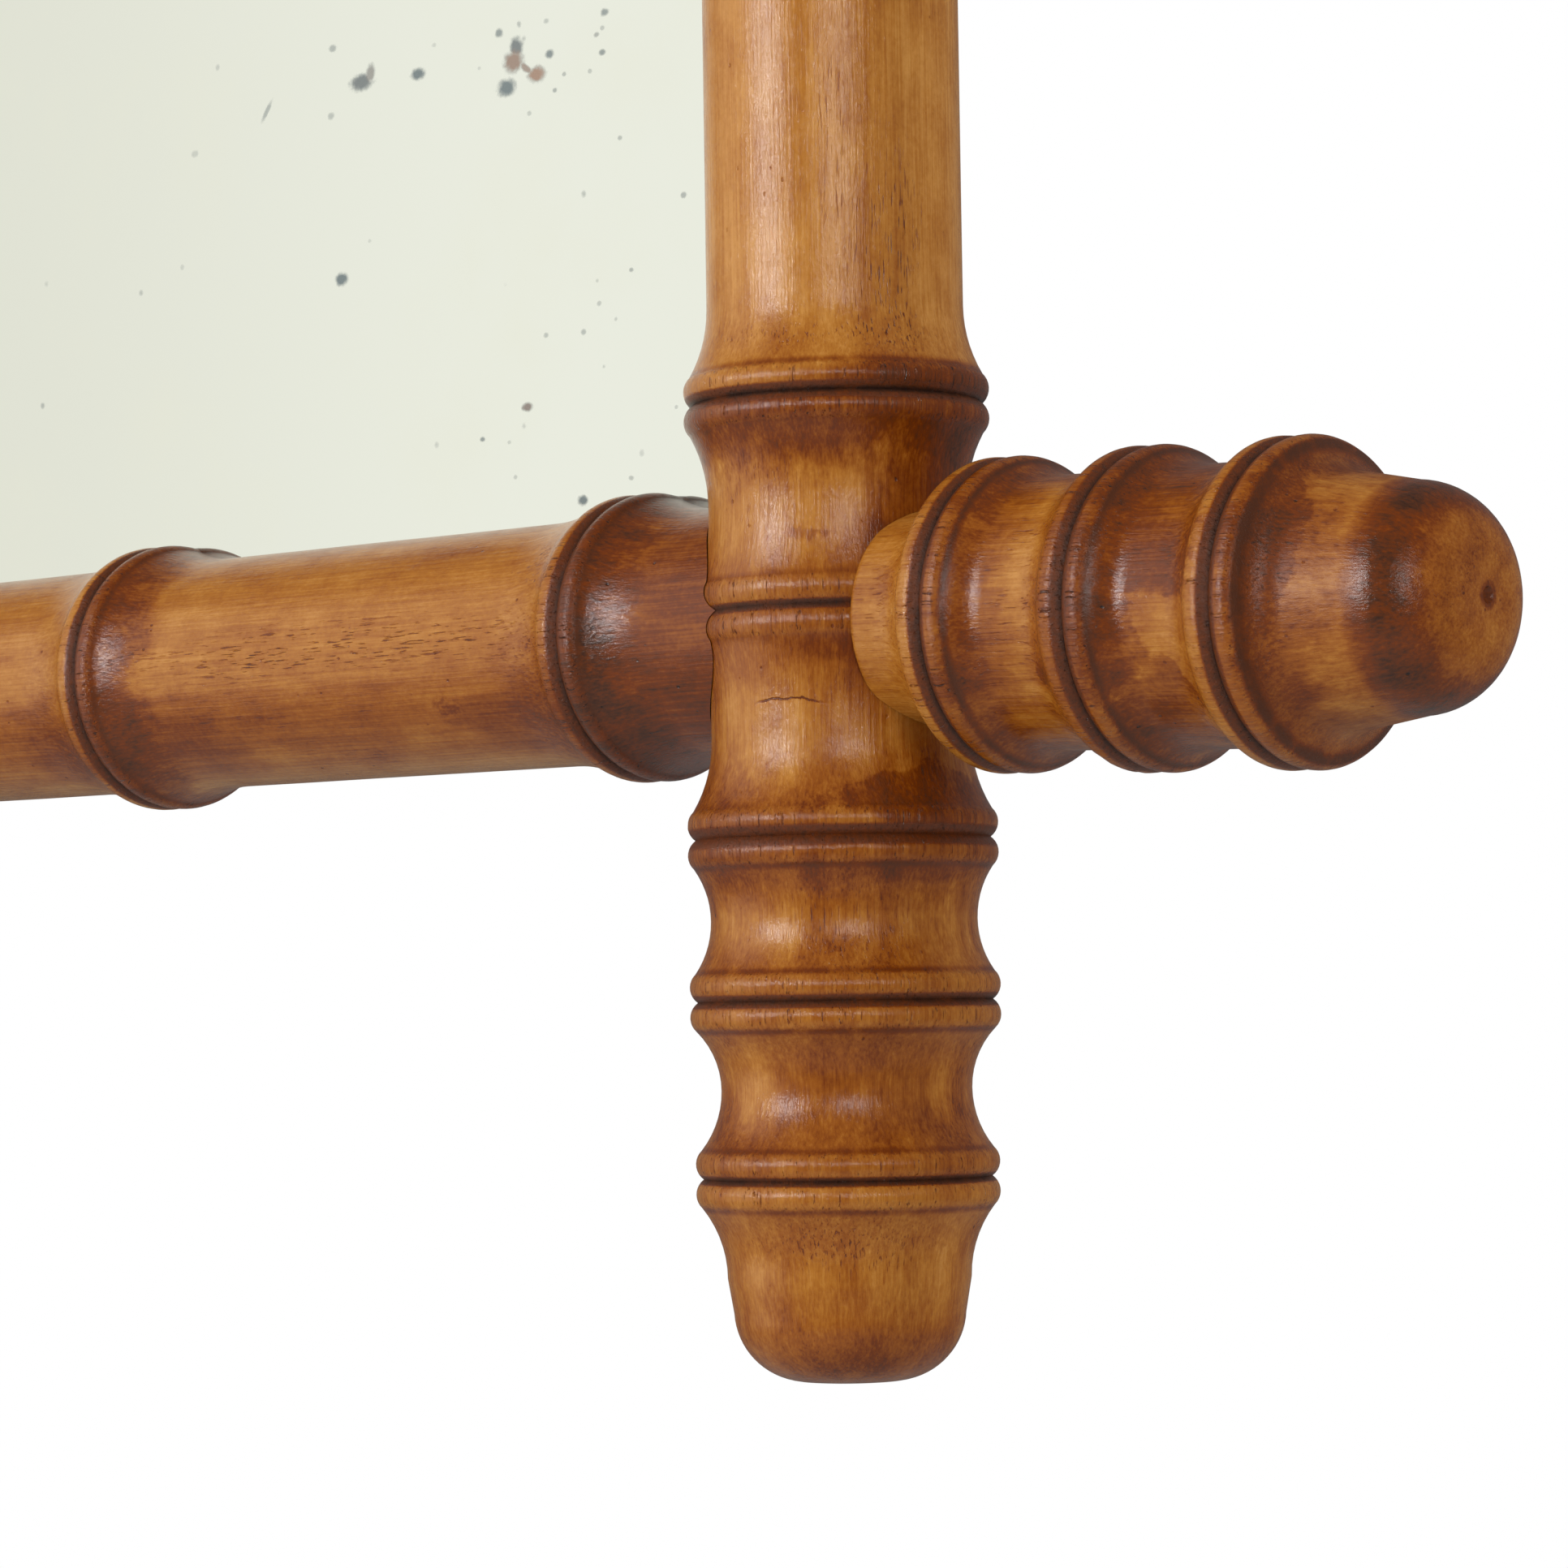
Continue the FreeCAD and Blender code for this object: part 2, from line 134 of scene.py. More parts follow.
@dataclass(frozen=True)
class Pattern:
    """A noise pattern.

    Attributes:
        scale: Frequency along X, Y and Z.
        shift: Shift of the pattern, so that no two patterns agree.
        detail: Number of finer layers.
        roughness: Strength of the finer layers.
        distortion: How far the pattern is stirred.
    """

    scale: tuple[float, float, float]
    shift: tuple[float, float, float] = (0, 0, 0)
    detail: float = 2
    roughness: float = 0.5
    distortion: float = 0


class Signal:
    """An output of a shader graph that takes part in arithmetic."""

    def __init__(self, graph: "Graph", socket: bpy.types.NodeSocket) -> None:
        """Wraps a socket.

        Args:
            graph: The graph that owns the socket.
            socket: The output to wrap.
        """
        self.graph = graph
        self.socket = socket

    def maths(self, operation: str, *operands: Union["Signal", Number]) -> "Signal":
        """One maths node.

        Args:
            operation: Name of the maths operation.
            operands: The node's inputs in order.

        Returns:
            The node's output.
        """
        return self.graph.node("ShaderNodeMath", {"operation": operation}, dict(enumerate(operands)))

    def __add__(self, other: Union["Signal", Number]) -> "Signal":
        """This plus another value."""
        return self.maths("ADD", self, other)

    def __radd__(self, other: Number) -> "Signal":
        """A number plus this."""
        return self.maths("ADD", other, self)

    def __sub__(self, other: Union["Signal", Number]) -> "Signal":
        """This minus another value."""
        return self.maths("SUBTRACT", self, other)

    def __rsub__(self, other: Number) -> "Signal":
        """A number minus this."""
        return self.maths("SUBTRACT", other, self)

    def __mul__(self, other: Union["Signal", Number]) -> "Signal":
        """This times another value."""
        return self.maths("MULTIPLY", self, other)

    def __rmul__(self, other: Number) -> "Signal":
        """A number times this."""
        return self.maths("MULTIPLY", other, self)

    def __abs__(self) -> "Signal":
        """The size of this, whatever its sign."""
        return self.maths("ABSOLUTE", self)

    def smaller(self, other: Union["Signal", Number]) -> "Signal":
        """The smaller of this and another value."""
        return self.maths("MINIMUM", self, other)

    def larger(self, other: Union["Signal", Number]) -> "Signal":
        """The larger of this and another value."""
        return self.maths("MAXIMUM", self, other)

    def swing(self, amount: Number) -> "Signal":
        """A pattern about its middle, times an amount."""
        return (self - 0.5) * amount

    def rising(self, low: Union["Signal", Number], high: Union["Signal", Number]) -> "Signal":
        """A smooth step.

        Args:
            low: Value up to which the step is 0.
            high: Value from which it is 1.

        Returns:
            The step.
        """
        return self.graph.node(
            "ShaderNodeMapRange",
            {"interpolation_type": "SMOOTHSTEP"},
            {"Value": self, "From Min": low, "From Max": high},
        )

    def falling(self, low: Union["Signal", Number], high: Union["Signal", Number]) -> "Signal":
        """A smooth step from 1 at low to 0 at high."""
        return 1 - self.rising(low, high)

    def band(self, centre: Number, half: Number) -> "Signal":
        """1 at a centre value, falling smoothly to 0 at half a width either side."""
        return abs(self - centre).falling(0, half)


class Graph:
    """The node tree of one material or world, built through one method."""

    def __init__(self, tree: bpy.types.NodeTree) -> None:
        """Starts from an empty tree.

        Args:
            tree: The node tree to fill.
        """
        self.tree = tree
        tree.nodes.clear()

    def node(
        self,
        kind: str,
        settings: Optional[dict[str, Any]] = None,
        sockets: Optional[dict[Any, Any]] = None,
        output: Union[str, int] = 0,
    ) -> Signal:
        """Adds a node.

        Args:
            kind: The node's type name.
            settings: Properties to set on the node, or the stops of a colour ramp.
            sockets: Input values or signals, by input name or number.
            output: The output to return, by name or number.

        Returns:
            The chosen output.
        """
        made = self.tree.nodes.new(kind)
        for name, value in (settings or {}).items():
            if name == "stops":
                self.set_stops(made.color_ramp.elements, value)
            else:
                setattr(made, name, value)
        for name, value in (sockets or {}).items():
            if isinstance(value, Signal):
                self.tree.links.new(value.socket, made.inputs[name])
            else:
                made.inputs[name].default_value = value
        return Signal(self, made.outputs[output] if len(made.outputs) else None)

    @staticmethod
    def set_stops(elements: bpy.types.ColorRampElements, stops: Sequence[tuple[float, Colour]]) -> None:
        """Gives a new colour ramp its stops.

        Args:
            elements: The ramp's two first elements.
            stops: Positions with their colours, in order.
        """
        for place, (position, colour) in enumerate(stops):
            element = elements[place] if place < len(elements) else elements.new(position)
            element.position = position
            element.color = (*colour, 1)

    def attribute(self, name: str) -> Signal:
        """Reads a vector attribute of the mesh."""
        return self.node("ShaderNodeAttribute", {"attribute_name": name}, output="Vector")

    def ray(self, kind: str) -> Signal:
        """1 for a kind of ray, such as Camera, and 0 for others."""
        return self.node("ShaderNodeLightPath", output=f"Is {kind} Ray")

    def place_in_mm(self) -> Signal:
        """The place on the piece, in millimetres."""
        return self.scaled(self.node("ShaderNodeTexCoord", output="Object"), (1 / MM, 1 / MM, 1 / MM))

    def split(self, vector: Signal) -> tuple[Signal, Signal, Signal]:
        """The three parts of a vector."""
        parts = self.node("ShaderNodeSeparateXYZ", None, {0: vector}).socket.node.outputs
        return tuple(Signal(self, part) for part in parts)

    def scaled(self, vector: Signal, scale: Sequence[float], shift: Sequence[float] = (0, 0, 0)) -> Signal:
        """A vector times a scale for each axis, plus a shift."""
        return self.node("ShaderNodeMapping", None, {"Vector": vector, "Scale": scale, "Location": shift})

    def noise(self, place: Signal, pattern: Pattern) -> Signal:
        """Noise from 0 to 1.

        Args:
            place: Where on the piece.
            pattern: Size and kind of the noise.

        Returns:
            The noise.
        """
        return self.node(
            "ShaderNodeTexNoise",
            None,
            {
                "Vector": self.scaled(place, pattern.scale, pattern.shift),
                "Scale": 1,
                "Detail": pattern.detail,
                "Roughness": pattern.roughness,
                "Distortion": pattern.distortion,
            },
        )

    def scatter(self, vector: Signal) -> Signal:
        """The distance to the nearest of many scattered points, about one apart."""
        return self.node("ShaderNodeTexVoronoi", {"feature": "F1"}, {"Vector": vector, "Scale": 1}, "Distance")

    def ramp(self, value: Signal, stops: Sequence[tuple[float, Colour]]) -> Signal:
        """A colour ramp with the given stops."""
        return self.node("ShaderNodeValToRGB", {"stops": stops}, {"Fac": value})

    def mix(self, factor: Signal, first: Union[Signal, Colour], second: Union[Signal, Colour]) -> Signal:
        """A mix of two colours.

        Args:
            factor: 0 for the first colour, 1 for the second.
            first: A colour or a signal.
            second: A colour or a signal.

        Returns:
            The mixed colour.
        """
        first, second = (
            colour if isinstance(colour, Signal) else (*colour, 1) for colour in (first, second)
        )
        return self.node("ShaderNodeMix", {"data_type": "RGBA"}, {0: factor, 6: first, 7: second}, 2)

    def bump(self, height: Signal, depth: float) -> Signal:
        """A normal from a height signal; depth is in millimetres."""
        return self.node("ShaderNodeBump", None, {"Height": height, "Distance": depth * MM, "Strength": 1})


class Finish:
    """A surface finish that can make its material."""

    name: str

    def shade(self, graph: Graph) -> dict[str, Any]:
        """The Principled BSDF inputs of this finish.

        Args:
            graph: The material's graph.

        Returns:
            Input values by socket name.
        """
        raise NotImplementedError

    def material(self) -> bpy.types.Material:
        """Makes the material.

        Returns:
            A new material with this finish.
        """
        made = bpy.data.materials.new(self.name)
        made.use_nodes = True
        graph = Graph(made.node_tree)
        surface = graph.node("ShaderNodeBsdfPrincipled", None, self.shade(graph))
        graph.node("ShaderNodeOutputMaterial", None, {"Surface": surface})
        return made


@dataclass(frozen=True)
class StainedPole(Finish):
    """Turned hardwood with a honey stain, darker round the rings, under a satin varnish.

    Attributes:
        name: Name of the material.
        stops: The stain's colours from pale to nearly black.
        roughness: Roughness of sound varnish.
        gloss: Strength of the varnish's reflection.
        grain_depth: Depth of the grain in millimetres.
        ground: Darkness of the bare stain.
        deep: Darkness beyond which stain builds up more slowly.
        score_dark: Darkness of the scored lines along a ring's edges.
        groove_dark: Darkness of a ring's groove.
        seam_dark: Darkness of the line at the bottom of the groove.
        crack_dark: Darkness of the crack.
        streaks: Broad streaks along the grain.
        fibres: Fine fibres along the grain.
        dashes: Open pores, short along the grain.
        cloud: Broad clouds of stain.
        mottle: Smaller patches of stain.
        grit: Grain of the varnish.
        splits: Fine splits in the beads.
        pits: Scattered small holes.
    """

    name: str = "stained_pole"
    stops: tuple[tuple[float, Colour], ...] = (
        (0.0, (0.62, 0.28, 0.060)),
        (0.2, (0.47, 0.175, 0.022)),
        (0.4, (0.33, 0.092, 0.007)),
        (0.6, (0.185, 0.036, 0.002)),
        (0.8, (0.082, 0.024, 0.008)),
        (1.0, (0.020, 0.010, 0.007)),
    )
    roughness: float = 0.18
    gloss: float = 0.4
    grain_depth: float = 0.1
    ground: float = 0.17
    deep: float = 0.58
    score_dark: float = 0.78
    groove_dark: float = 0.71
    seam_dark: float = 0.95
    crack_dark: float = 0.7
    streaks: Pattern = Pattern((0.3, 0.3, 0.011), detail=4, roughness=0.6)
    fibres: Pattern = Pattern((2.6, 2.6, 0.07), detail=4, roughness=0.65)
    dashes: Pattern = Pattern((3.6, 3.6, 0.3), (31, 7, 3))
    cloud: Pattern = Pattern((0.07, 0.07, 0.05), (5, 9, 2), 4, 0.55, 0.6)
    mottle: Pattern = Pattern((0.2, 0.2, 0.15), (2, 4, 8), 6, 0.66)
    grit: Pattern = Pattern((1.5, 1.5, 1.1), (7, 1, 4), 4, 0.62)
    splits: Pattern = Pattern((2.8, 2.8, 0.12), (11, 3, 5), 3, 0.6)
    pits: Pattern = Pattern((0.42, 0.42, 0.3), (3, 8, 1))

    def shade(self, graph: Graph) -> dict[str, Any]:
        """Wood darkened by its tones, which hold painted light and shade too, and by patches, pores, rings and
        crack.

        Args:
            graph: The material's graph.

        Returns:
            Input values by socket name.
        """
        place = graph.attribute("turn_place")
        gap, seam_depth, wear = graph.split(graph.attribute("ring_place"))
        groove_half, score_depth, flare_depth = graph.split(graph.attribute("ring_look"))
        # The stain attribute's tone holds painted light and shade as well as stain
        tone, patch, pored = graph.split(graph.attribute("stain"))
        across, aside, dull = graph.split(graph.attribute("damage"))

        streaks, fibres, dashes, cloud, mottle, grit, splits = (
            graph.noise(place, pattern)
            for pattern in (
                self.streaks, self.fibres, self.dashes, self.cloud, self.mottle, self.grit, self.splits,
            )
        )

        # Stain that ends in ragged, slightly darker rims, and pores that show where the wood is open
        rough_edge = cloud.swing(1.6) + mottle.swing(1.1) + grit.swing(0.35)
        pores = dashes.rising(0.58, 0.70) * (cloud.rising(0.45, 0.7) * 0.5 + pored).smaller(1.6)
        spread = patch + rough_edge
        stained = spread.rising(0.40, 0.62) * 0.13 + spread.rising(0.2, 1.2) * 0.12 + spread.band(0.5, 0.12) * 0.03

        # Rings: stain that fades beside them, rubbed beads with fine splits, dark grooves, seams and scored edges
        fade = gap.falling(0.98, 3.9 + mottle.swing(5) + streaks.swing(2) + cloud.swing(4))
        cracks = splits.rising(0.60, 0.72)
        bead = gap.falling(0.92, 1.04)
        worn = bead * gap.rising(groove_half, groove_half + 0.12) * wear * (0.5 + mottle.rising(0.34, 0.6) * 0.5)
        broken = mottle.rising(0.36, 0.56)
        groove = (gap + grit.swing(0.16)).falling(groove_half * 0.8, groove_half * 1.15 + 0.02)
        seam = gap.falling(0.01, 0.09 + mottle * 0.14) * seam_depth * (0.2 + broken * 0.8)
        score = (gap + grit.swing(0.14)).band(1.03, 0.19) * score_depth * (0.55 + broken * 0.45)

        # Small holes and the crack
        holes = graph.scatter(graph.scaled(place, self.pits.scale, self.pits.shift))
        pits = holes.falling(0.05, 0.12) * mottle.rising(0.5, 0.62)
        hairline = abs(across + mottle.swing(2.6)).falling(0.04, 0.24) * aside.falling(0.6, 1)

        # All darkness together, then the marks that stand above it
        broad = self.ground + tone * 0.6 + cloud.swing(0.34) + stained + flare_depth * fade * 0.62
        dark = broad.smaller(self.deep + (broad - self.deep) * 0.35)
        dark = dark + streaks.swing(0.42) + fibres.swing(0.5) + mottle.swing(0.4) + grit.swing(0.26)
        dark = dark + (pores * 0.3).larger(cracks * bead * 0.28).larger(pits * 0.3) - worn * 0.12
        for target, mask in (
            (self.score_dark, score),
            (self.groove_dark + grit.swing(0.4), groove),
            (self.seam_dark, seam),
            (self.crack_dark, hairline),
        ):
            dark = dark + (target - dark) * mask
        height = fibres * (0.7 + bead * 0.6) + grit * 0.55 + mottle * 0.5 - pores * 0.6 - hairline - pits
        height = height - cracks * bead * 1.5
        sheen = self.roughness + mottle.swing(0.3)
        return {
            "Base Color": graph.ramp(dark, self.stops),
            "Roughness": sheen + groove * 0.2 - bead * 0.03 + pores * 0.15 + dull * 0.25,
            "Specular IOR Level": self.gloss,
            "Normal": graph.bump(height, self.grain_depth),
        }


@dataclass(frozen=True)
class Spot:
    """A dark spot in the silvering.

    Attributes:
        x: Place across, in the row frame.
        z: Place up, in the row frame.
        wide: Half width.
        high: Half height.
        depth: How much of the silver is gone, from 0 to 1.
        warm: 0 for a slate spot, 1 for a brown one.
        tilt: Turn of the spot, in degrees.
    """

    x: float
    z: float
    wide: float
    high: float
    depth: float = 1.0
    warm: float = 0.0
    tilt: float = 0.0


@dataclass(frozen=True)
class OldMirror(Finish):
    """Old silvered glass, faintly yellow, with foxing spots and fine specks.

    Attributes:
        name: Name of the material.
        silver: Colour of sound silvering beside the right stile, where the painted reflection is brightest.
        dim_silver: Colour of the same silvering farther left, painted darker for a dimmer painted reflection.
        haze_tint: Colour of the yellow haze.
        slate: Colour of a spot where the silver has gone.
        rust: Colour of a brown spot.
        wobble: Ragged edges of the spots.
        clusters: Where fine specks gather.
        haze: Where the silvering has yellowed.
        spots: The larger spots.
    """

    name: str = "old_mirror"
    silver: Colour = (0.82, 0.838, 0.737)
    dim_silver: Colour = (0.745, 0.757, 0.655)
    haze_tint: Colour = (0.80, 0.80, 0.66)
    slate: Colour = (0.105, 0.145, 0.155)
    rust: Colour = (0.31, 0.175, 0.11)
    wobble: Pattern = Pattern((0.9, 0.9, 0.9), detail=3, roughness=0.6)
    clusters: Pattern = Pattern((0.012, 0, 0.012), (3, 0, 7), 3, 0.6)
    haze: Pattern = Pattern((0.02, 0, 0.02), (9, 0, 1), 5, 0.6)
    spots: tuple[Spot, ...] = (
        Spot(143.6, 87.5, 2.7, 1.4, 1.0, 0.1),
        Spot(145.6, 88.6, 1.1, 1.6, 0.8, 0.4, 10),
        Spot(155.9, 87.1, 1.6, 1.0),
        Spot(174.5, 82.6, 2.1, 1.4),
        Spot(176.0, 86.2, 2.2, 1.8, 1.0, 0.8),
        Spot(176.6, 88.2, 1.5, 1.7, 1.0, 0.1),
        Spot(178.5, 84.9, 1.7, 0.6, 0.9, 0.8, 35),
        Spot(180.7, 83.7, 2.0, 1.3, 1.0, 1.0),
        Spot(183.4, 86.3, 1.0, 0.7, 0.9),
        Spot(173.1, 90.8, 0.9, 0.7, 0.8),
        Spot(137.4, 93.5, 0.9, 0.6, 0.55),
        Spot(136.9, 83.3, 0.8, 0.6, 0.45),
        Spot(194.0, 85.1, 0.7, 0.5, 0.8),
        Spot(194.6, 90.8, 0.9, 0.6, 0.8),
        Spot(192.9, 87.8, 0.6, 0.4, 0.6, 0.2),
        Spot(122.5, 85.9, 0.5, 2.1, 0.55, 0.0, 38),
        Spot(184.3, 80.9, 0.5, 0.4, 0.6),
        Spot(186.3, 83.0, 0.45, 0.35, 0.5),
        Spot(197.3, 72.3, 0.5, 0.4, 0.5),
        Spot(138.8, 58.3, 1.5, 1.1),
        Spot(177.9, 35.4, 1.2, 0.7, 1.0, 0.5),
        Spot(168.6, 31.5, 0.6, 0.4, 0.8),
        Spot(188.9, 20.9, 1.1, 0.8),
        Spot(105.8, 81.4, 0.9, 0.6, 0.3),
        Spot(199.2, 53.1, 0.5, 0.4, 0.6),
        Spot(209.6, 62.6, 0.6, 0.5, 0.6),
        Spot(189.5, 45.2, 0.6, 0.45, 0.5),
        Spot(182.8, 91.2, 0.6, 0.45, 0.4),
        Spot(181.9, 45.5, 0.55, 0.45, 0.45),
        Spot(198.6, 23.4, 0.6, 0.4, 0.45),
        Spot(191.5, 82.7, 0.5, 0.4, 0.4),
        Spot(179.1, 78.2, 0.5, 0.4, 0.35),
        Spot(194.1, 88.6, 0.5, 0.4, 0.4),
        Spot(159.4, 91.0, 0.5, 0.4, 0.25),
        Spot(102.6, 64.1, 0.5, 0.5, 0.25),
        Spot(192.7, 49.0, 0.5, 0.4, 0.4),
        Spot(175.3, 25.4, 0.45, 0.4, 0.35),
        Spot(207.6, 32.7, 0.4, 0.35, 0.35),
        Spot(174.1, 30.6, 0.4, 0.3, 0.3),
        Spot(168.8, 86.2, 0.4, 0.3, 0.25),
        Spot(145.0, 63.4, 0.4, 0.3, 0.25),
        Spot(196.0, 46.4, 0.35, 0.35, 0.35),
        Spot(192.4, 52.3, 0.35, 0.3, 0.3),
        Spot(193.5, 39.8, 0.35, 0.3, 0.3),
    )

    def shade(self, graph: Graph) -> dict[str, Any]:
        """Silvering with its spots, specks and yellow haze.

        Args:
            graph: The material's graph.

        Returns:
            Input values by socket name.
        """
        place = graph.node("ShaderNodeTexCoord", output="Object")
        flat = graph.scaled(place, (1 / MM, 0, 1 / MM))
        wobble, clusters, haze = (
            graph.noise(flat, pattern) for pattern in (self.wobble, self.clusters, self.haze)
        )
        lost, warm = None, None
        for spot in self.spots:
            offset = graph.node(
                "ShaderNodeMapping",
                {"vector_type": "TEXTURE"},
                {
                    "Vector": flat,
                    "Location": (spot.x, 0, spot.z),
                    "Rotation": (0, math.radians(spot.tilt), 0),
                    "Scale": (spot.wide, 1, spot.high),
                },
            )
            far = graph.node("ShaderNodeVectorMath", {"operation": "LENGTH"}, {0: offset}, "Value")
            mark = (far + wobble.swing(0.8)).falling(0.45, 1.2) * spot.depth
            lost = mark if lost is None else lost.larger(mark)
            if spot.warm:
                glow = mark * spot.warm
                warm = glow if warm is None else warm.larger(glow)
        cells = graph.scatter(graph.scaled(flat, (0.1, 0, 0.1)))
        specks = (cells + wobble.swing(0.05)).falling(0.02, 0.07) * clusters.rising(0.36, 0.55)
        # Painted reflection: sound silvering is painted dimmer farther left of the right stile, standing in for a
        # dimmer reflection there
        rightward = graph.split(flat)[0].rising(40, 190)
        sound = graph.mix(rightward, self.dim_silver, self.silver)
        tinted = graph.mix(haze.rising(0.45, 0.75) * 0.35, sound, self.haze_tint)
        dark = graph.mix(warm, self.slate, self.rust)
        gone = lost.larger(specks * 0.5)
        return {
            "Base Color": graph.mix(gone * 0.9, tinted, dark),
            "Metallic": 1 - gone * 0.7,
            "Roughness": gone * 0.35,
        }


@dataclass(frozen=True)
class PlainWood(Finish):
    """Bare wood with long grain along one axis.

    Attributes:
        name: Name of the material.
        pale: Colour of the early wood.
        deep: Colour of the late wood.
        grain: Grain frequency along X, Y and Z, per millimetre.
        finer: How much finer the fibres are than the grain.
        dirt: Where old dirt lies.
    """

    name: str
    pale: Colour
    deep: Colour
    grain: tuple[float, float, float]
    finer: float = 12
    dirt: Pattern = Pattern((0.02, 0.02, 0.02), detail=5, roughness=0.65)

    def shade(self, graph: Graph) -> dict[str, Any]:
        """Long grain with finer fibres and some dirt.

        Args:
            graph: The material's graph.

        Returns:
            Input values by socket name.
        """
        place = graph.place_in_mm()
        fibre = tuple(self.finer * value for value in self.grain)
        rings = graph.noise(place, Pattern(self.grain, detail=4, roughness=0.6, distortion=0.4))
        fine = graph.noise(place, Pattern(fibre, detail=3, roughness=0.6))
        dirt = graph.noise(place, self.dirt)
        tone = (rings.rising(0.35, 0.65) * 0.55 + fine * 0.45).larger(dirt.rising(0.55, 0.8) * 0.85)
        return {
            "Base Color": graph.mix(tone, self.pale, self.deep),
            "Roughness": 0.62 + fine * 0.25,
            "Normal": graph.bump(rings * 0.4 + fine, 0.12),
        }


@dataclass(frozen=True)
class OldMetal(Finish):
    """Worn metal with tarnish in patches.

    Attributes:
        name: Name of the material.
        bright: Colour of rubbed metal.
        tarnish: Colour of the tarnish.
        base_roughness: Roughness of rubbed metal.
        patches: Where the tarnish lies.
        scratch: Fine scratches.
    """

    name: str
    bright: Colour
    tarnish: Colour
    base_roughness: float = 0.28
    patches: Pattern = Pattern((0.25, 0.25, 0.25), detail=5, roughness=0.65)
    scratch: Pattern = Pattern((6, 6, 0.6))

    def shade(self, graph: Graph) -> dict[str, Any]:
        """Rubbed metal with patches of tarnish and fine scratches.

        Args:
            graph: The material's graph.

        Returns:
            Input values by socket name.
        """
        place = graph.place_in_mm()
        patches, scratch = (graph.noise(place, pattern) for pattern in (self.patches, self.scratch))
        worn = patches.rising(0.4, 0.68)
        return {
            "Base Color": graph.mix(worn, self.bright, self.tarnish),
            "Metallic": 1 - worn * 0.25,
            "Roughness": self.base_roughness + worn * 0.3 + scratch.swing(0.12),
            "Normal": graph.bump(scratch * 0.5 + patches, 0.02),
        }


@dataclass(frozen=True)
class PaleFloor(Finish):
    """Plain pale floor with a faint mottle, lifted towards the white surroundings where it is seen.

    Attributes:
        name: Name of the material.
        colour: Colour of the floor.
        mottled: Colour of the mottle.
        lift: Glow that only the camera and clear glass see.
        mottle: The mottle, with its frequency per metre.
    """

    name: str = "pale_floor"
    colour: Colour = (0.55, 0.55, 0.545)
    mottled: Colour = (0.5, 0.5, 0.495)
    lift: Colour = (0.5, 0.5, 0.495)
    mottle: Pattern = Pattern((3, 3, 3), detail=4)

    def shade(self, graph: Graph) -> dict[str, Any]:
        """A matt floor that is paler where it is seen.

        Args:
            graph: The material's graph.

        Returns:
            Input values by socket name.
        """
        place = graph.node("ShaderNodeTexCoord", output="Object")
        mottle = graph.noise(place, self.mottle)
        seen, clear, through = (graph.ray(kind) for kind in ("Camera", "Singular", "Transmission"))
        return {
            "Base Color": graph.mix(mottle * 0.15, self.colour, self.mottled),
            "Roughness": 0.6 + mottle * 0.1,
            "Emission Color": graph.mix(seen.larger(clear).larger(through), (0, 0, 0), self.lift),
            "Emission Strength": 1,
        }


# Turned poles


@dataclass(frozen=True)
class RingLook:
    """How dark the stain lies round a ring.

    Attributes:
        groove: Half width of the dark groove, as a share of the ring's half width.
        seam: Darkness of the line at the bottom of the groove.
        wear: How far the beads' crests are rubbed pale.
        score_low: Strength of the scored line along the lower edge.
        score_high: Strength of the scored line along the upper edge.
        flare_low: Darkness of the flare below the ring.
        flare_high: Darkness of the flare above the ring.
    """

    groove: float = 0.28
    seam: float = 0.6
    wear: float = 0.7
    score_low: float = 0.5
    score_high: float = 0.5
    flare_low: float = 0.35
    flare_high: float = 0.35


@dataclass(frozen=True)
class Ring:
    """A bamboo joint: two beads with a groove between.

    Attributes:
        centre: Place of the groove along the axis.
        crest: Radius at the beads' crests.
        look: How dark the stain lies here.
        bead: Width of one bead.
        depth: Depth of the groove below the crests.
        edge_drop: Depth of the outer edges below the crests.
    """

    centre: float
    crest: float
    look: RingLook = RingLook()
    bead: float = 4.1
    depth: float = 1.05
    edge_drop: float = 0.8

    @property
    def bead_radius(self) -> float:
        """Radius of a bead's round."""
        return (self.bead ** 2 / 4 + self.depth ** 2) / (2 * self.depth)

    @property
    def reach(self) -> float:
        """Distance of the outer edges from the groove."""
        return self.bead / 2 + math.sqrt(self.edge_drop * (2 * self.bead_radius - self.edge_drop))

    @property
    def low(self) -> Point:
        """The lower outer edge."""
        return (self.centre - self.reach, self.crest - self.edge_drop)

    @property
    def high(self) -> Point:
        """The upper outer edge."""
        return (self.centre + self.reach, self.crest - self.edge_drop)

    def mirrored(self, middle: float) -> "Ring":
        """The same ring at the other end.

        Args:
            middle: Place along the axis to mirror about.

        Returns:
            The mirrored ring.
        """
        look = replace(
            self.look,
            score_low=self.look.score_high,
            score_high=self.look.score_low,
            flare_low=self.look.flare_high,
            flare_high=self.look.flare_low,
        )
        return replace(self, centre=2 * middle - self.centre, look=look)


@dataclass(frozen=True)
class Nose:
    """A turned end beyond the last ring.

    Attributes:
        length: Distance from the ring's groove to the end.
        root: Radius where the flare ends.
        shoulder: Radius where the rounding starts.
        rounding: Length of the rounding.
        flat: Radius of the flat end.
        mark: Radius of the lathe's centre mark.
        mark_depth: Depth of that mark.
    """

    length: float
    root: float
    shoulder: float
    rounding: float
    flat: float
    mark: float = 1.1
    mark_depth: float = 1.6


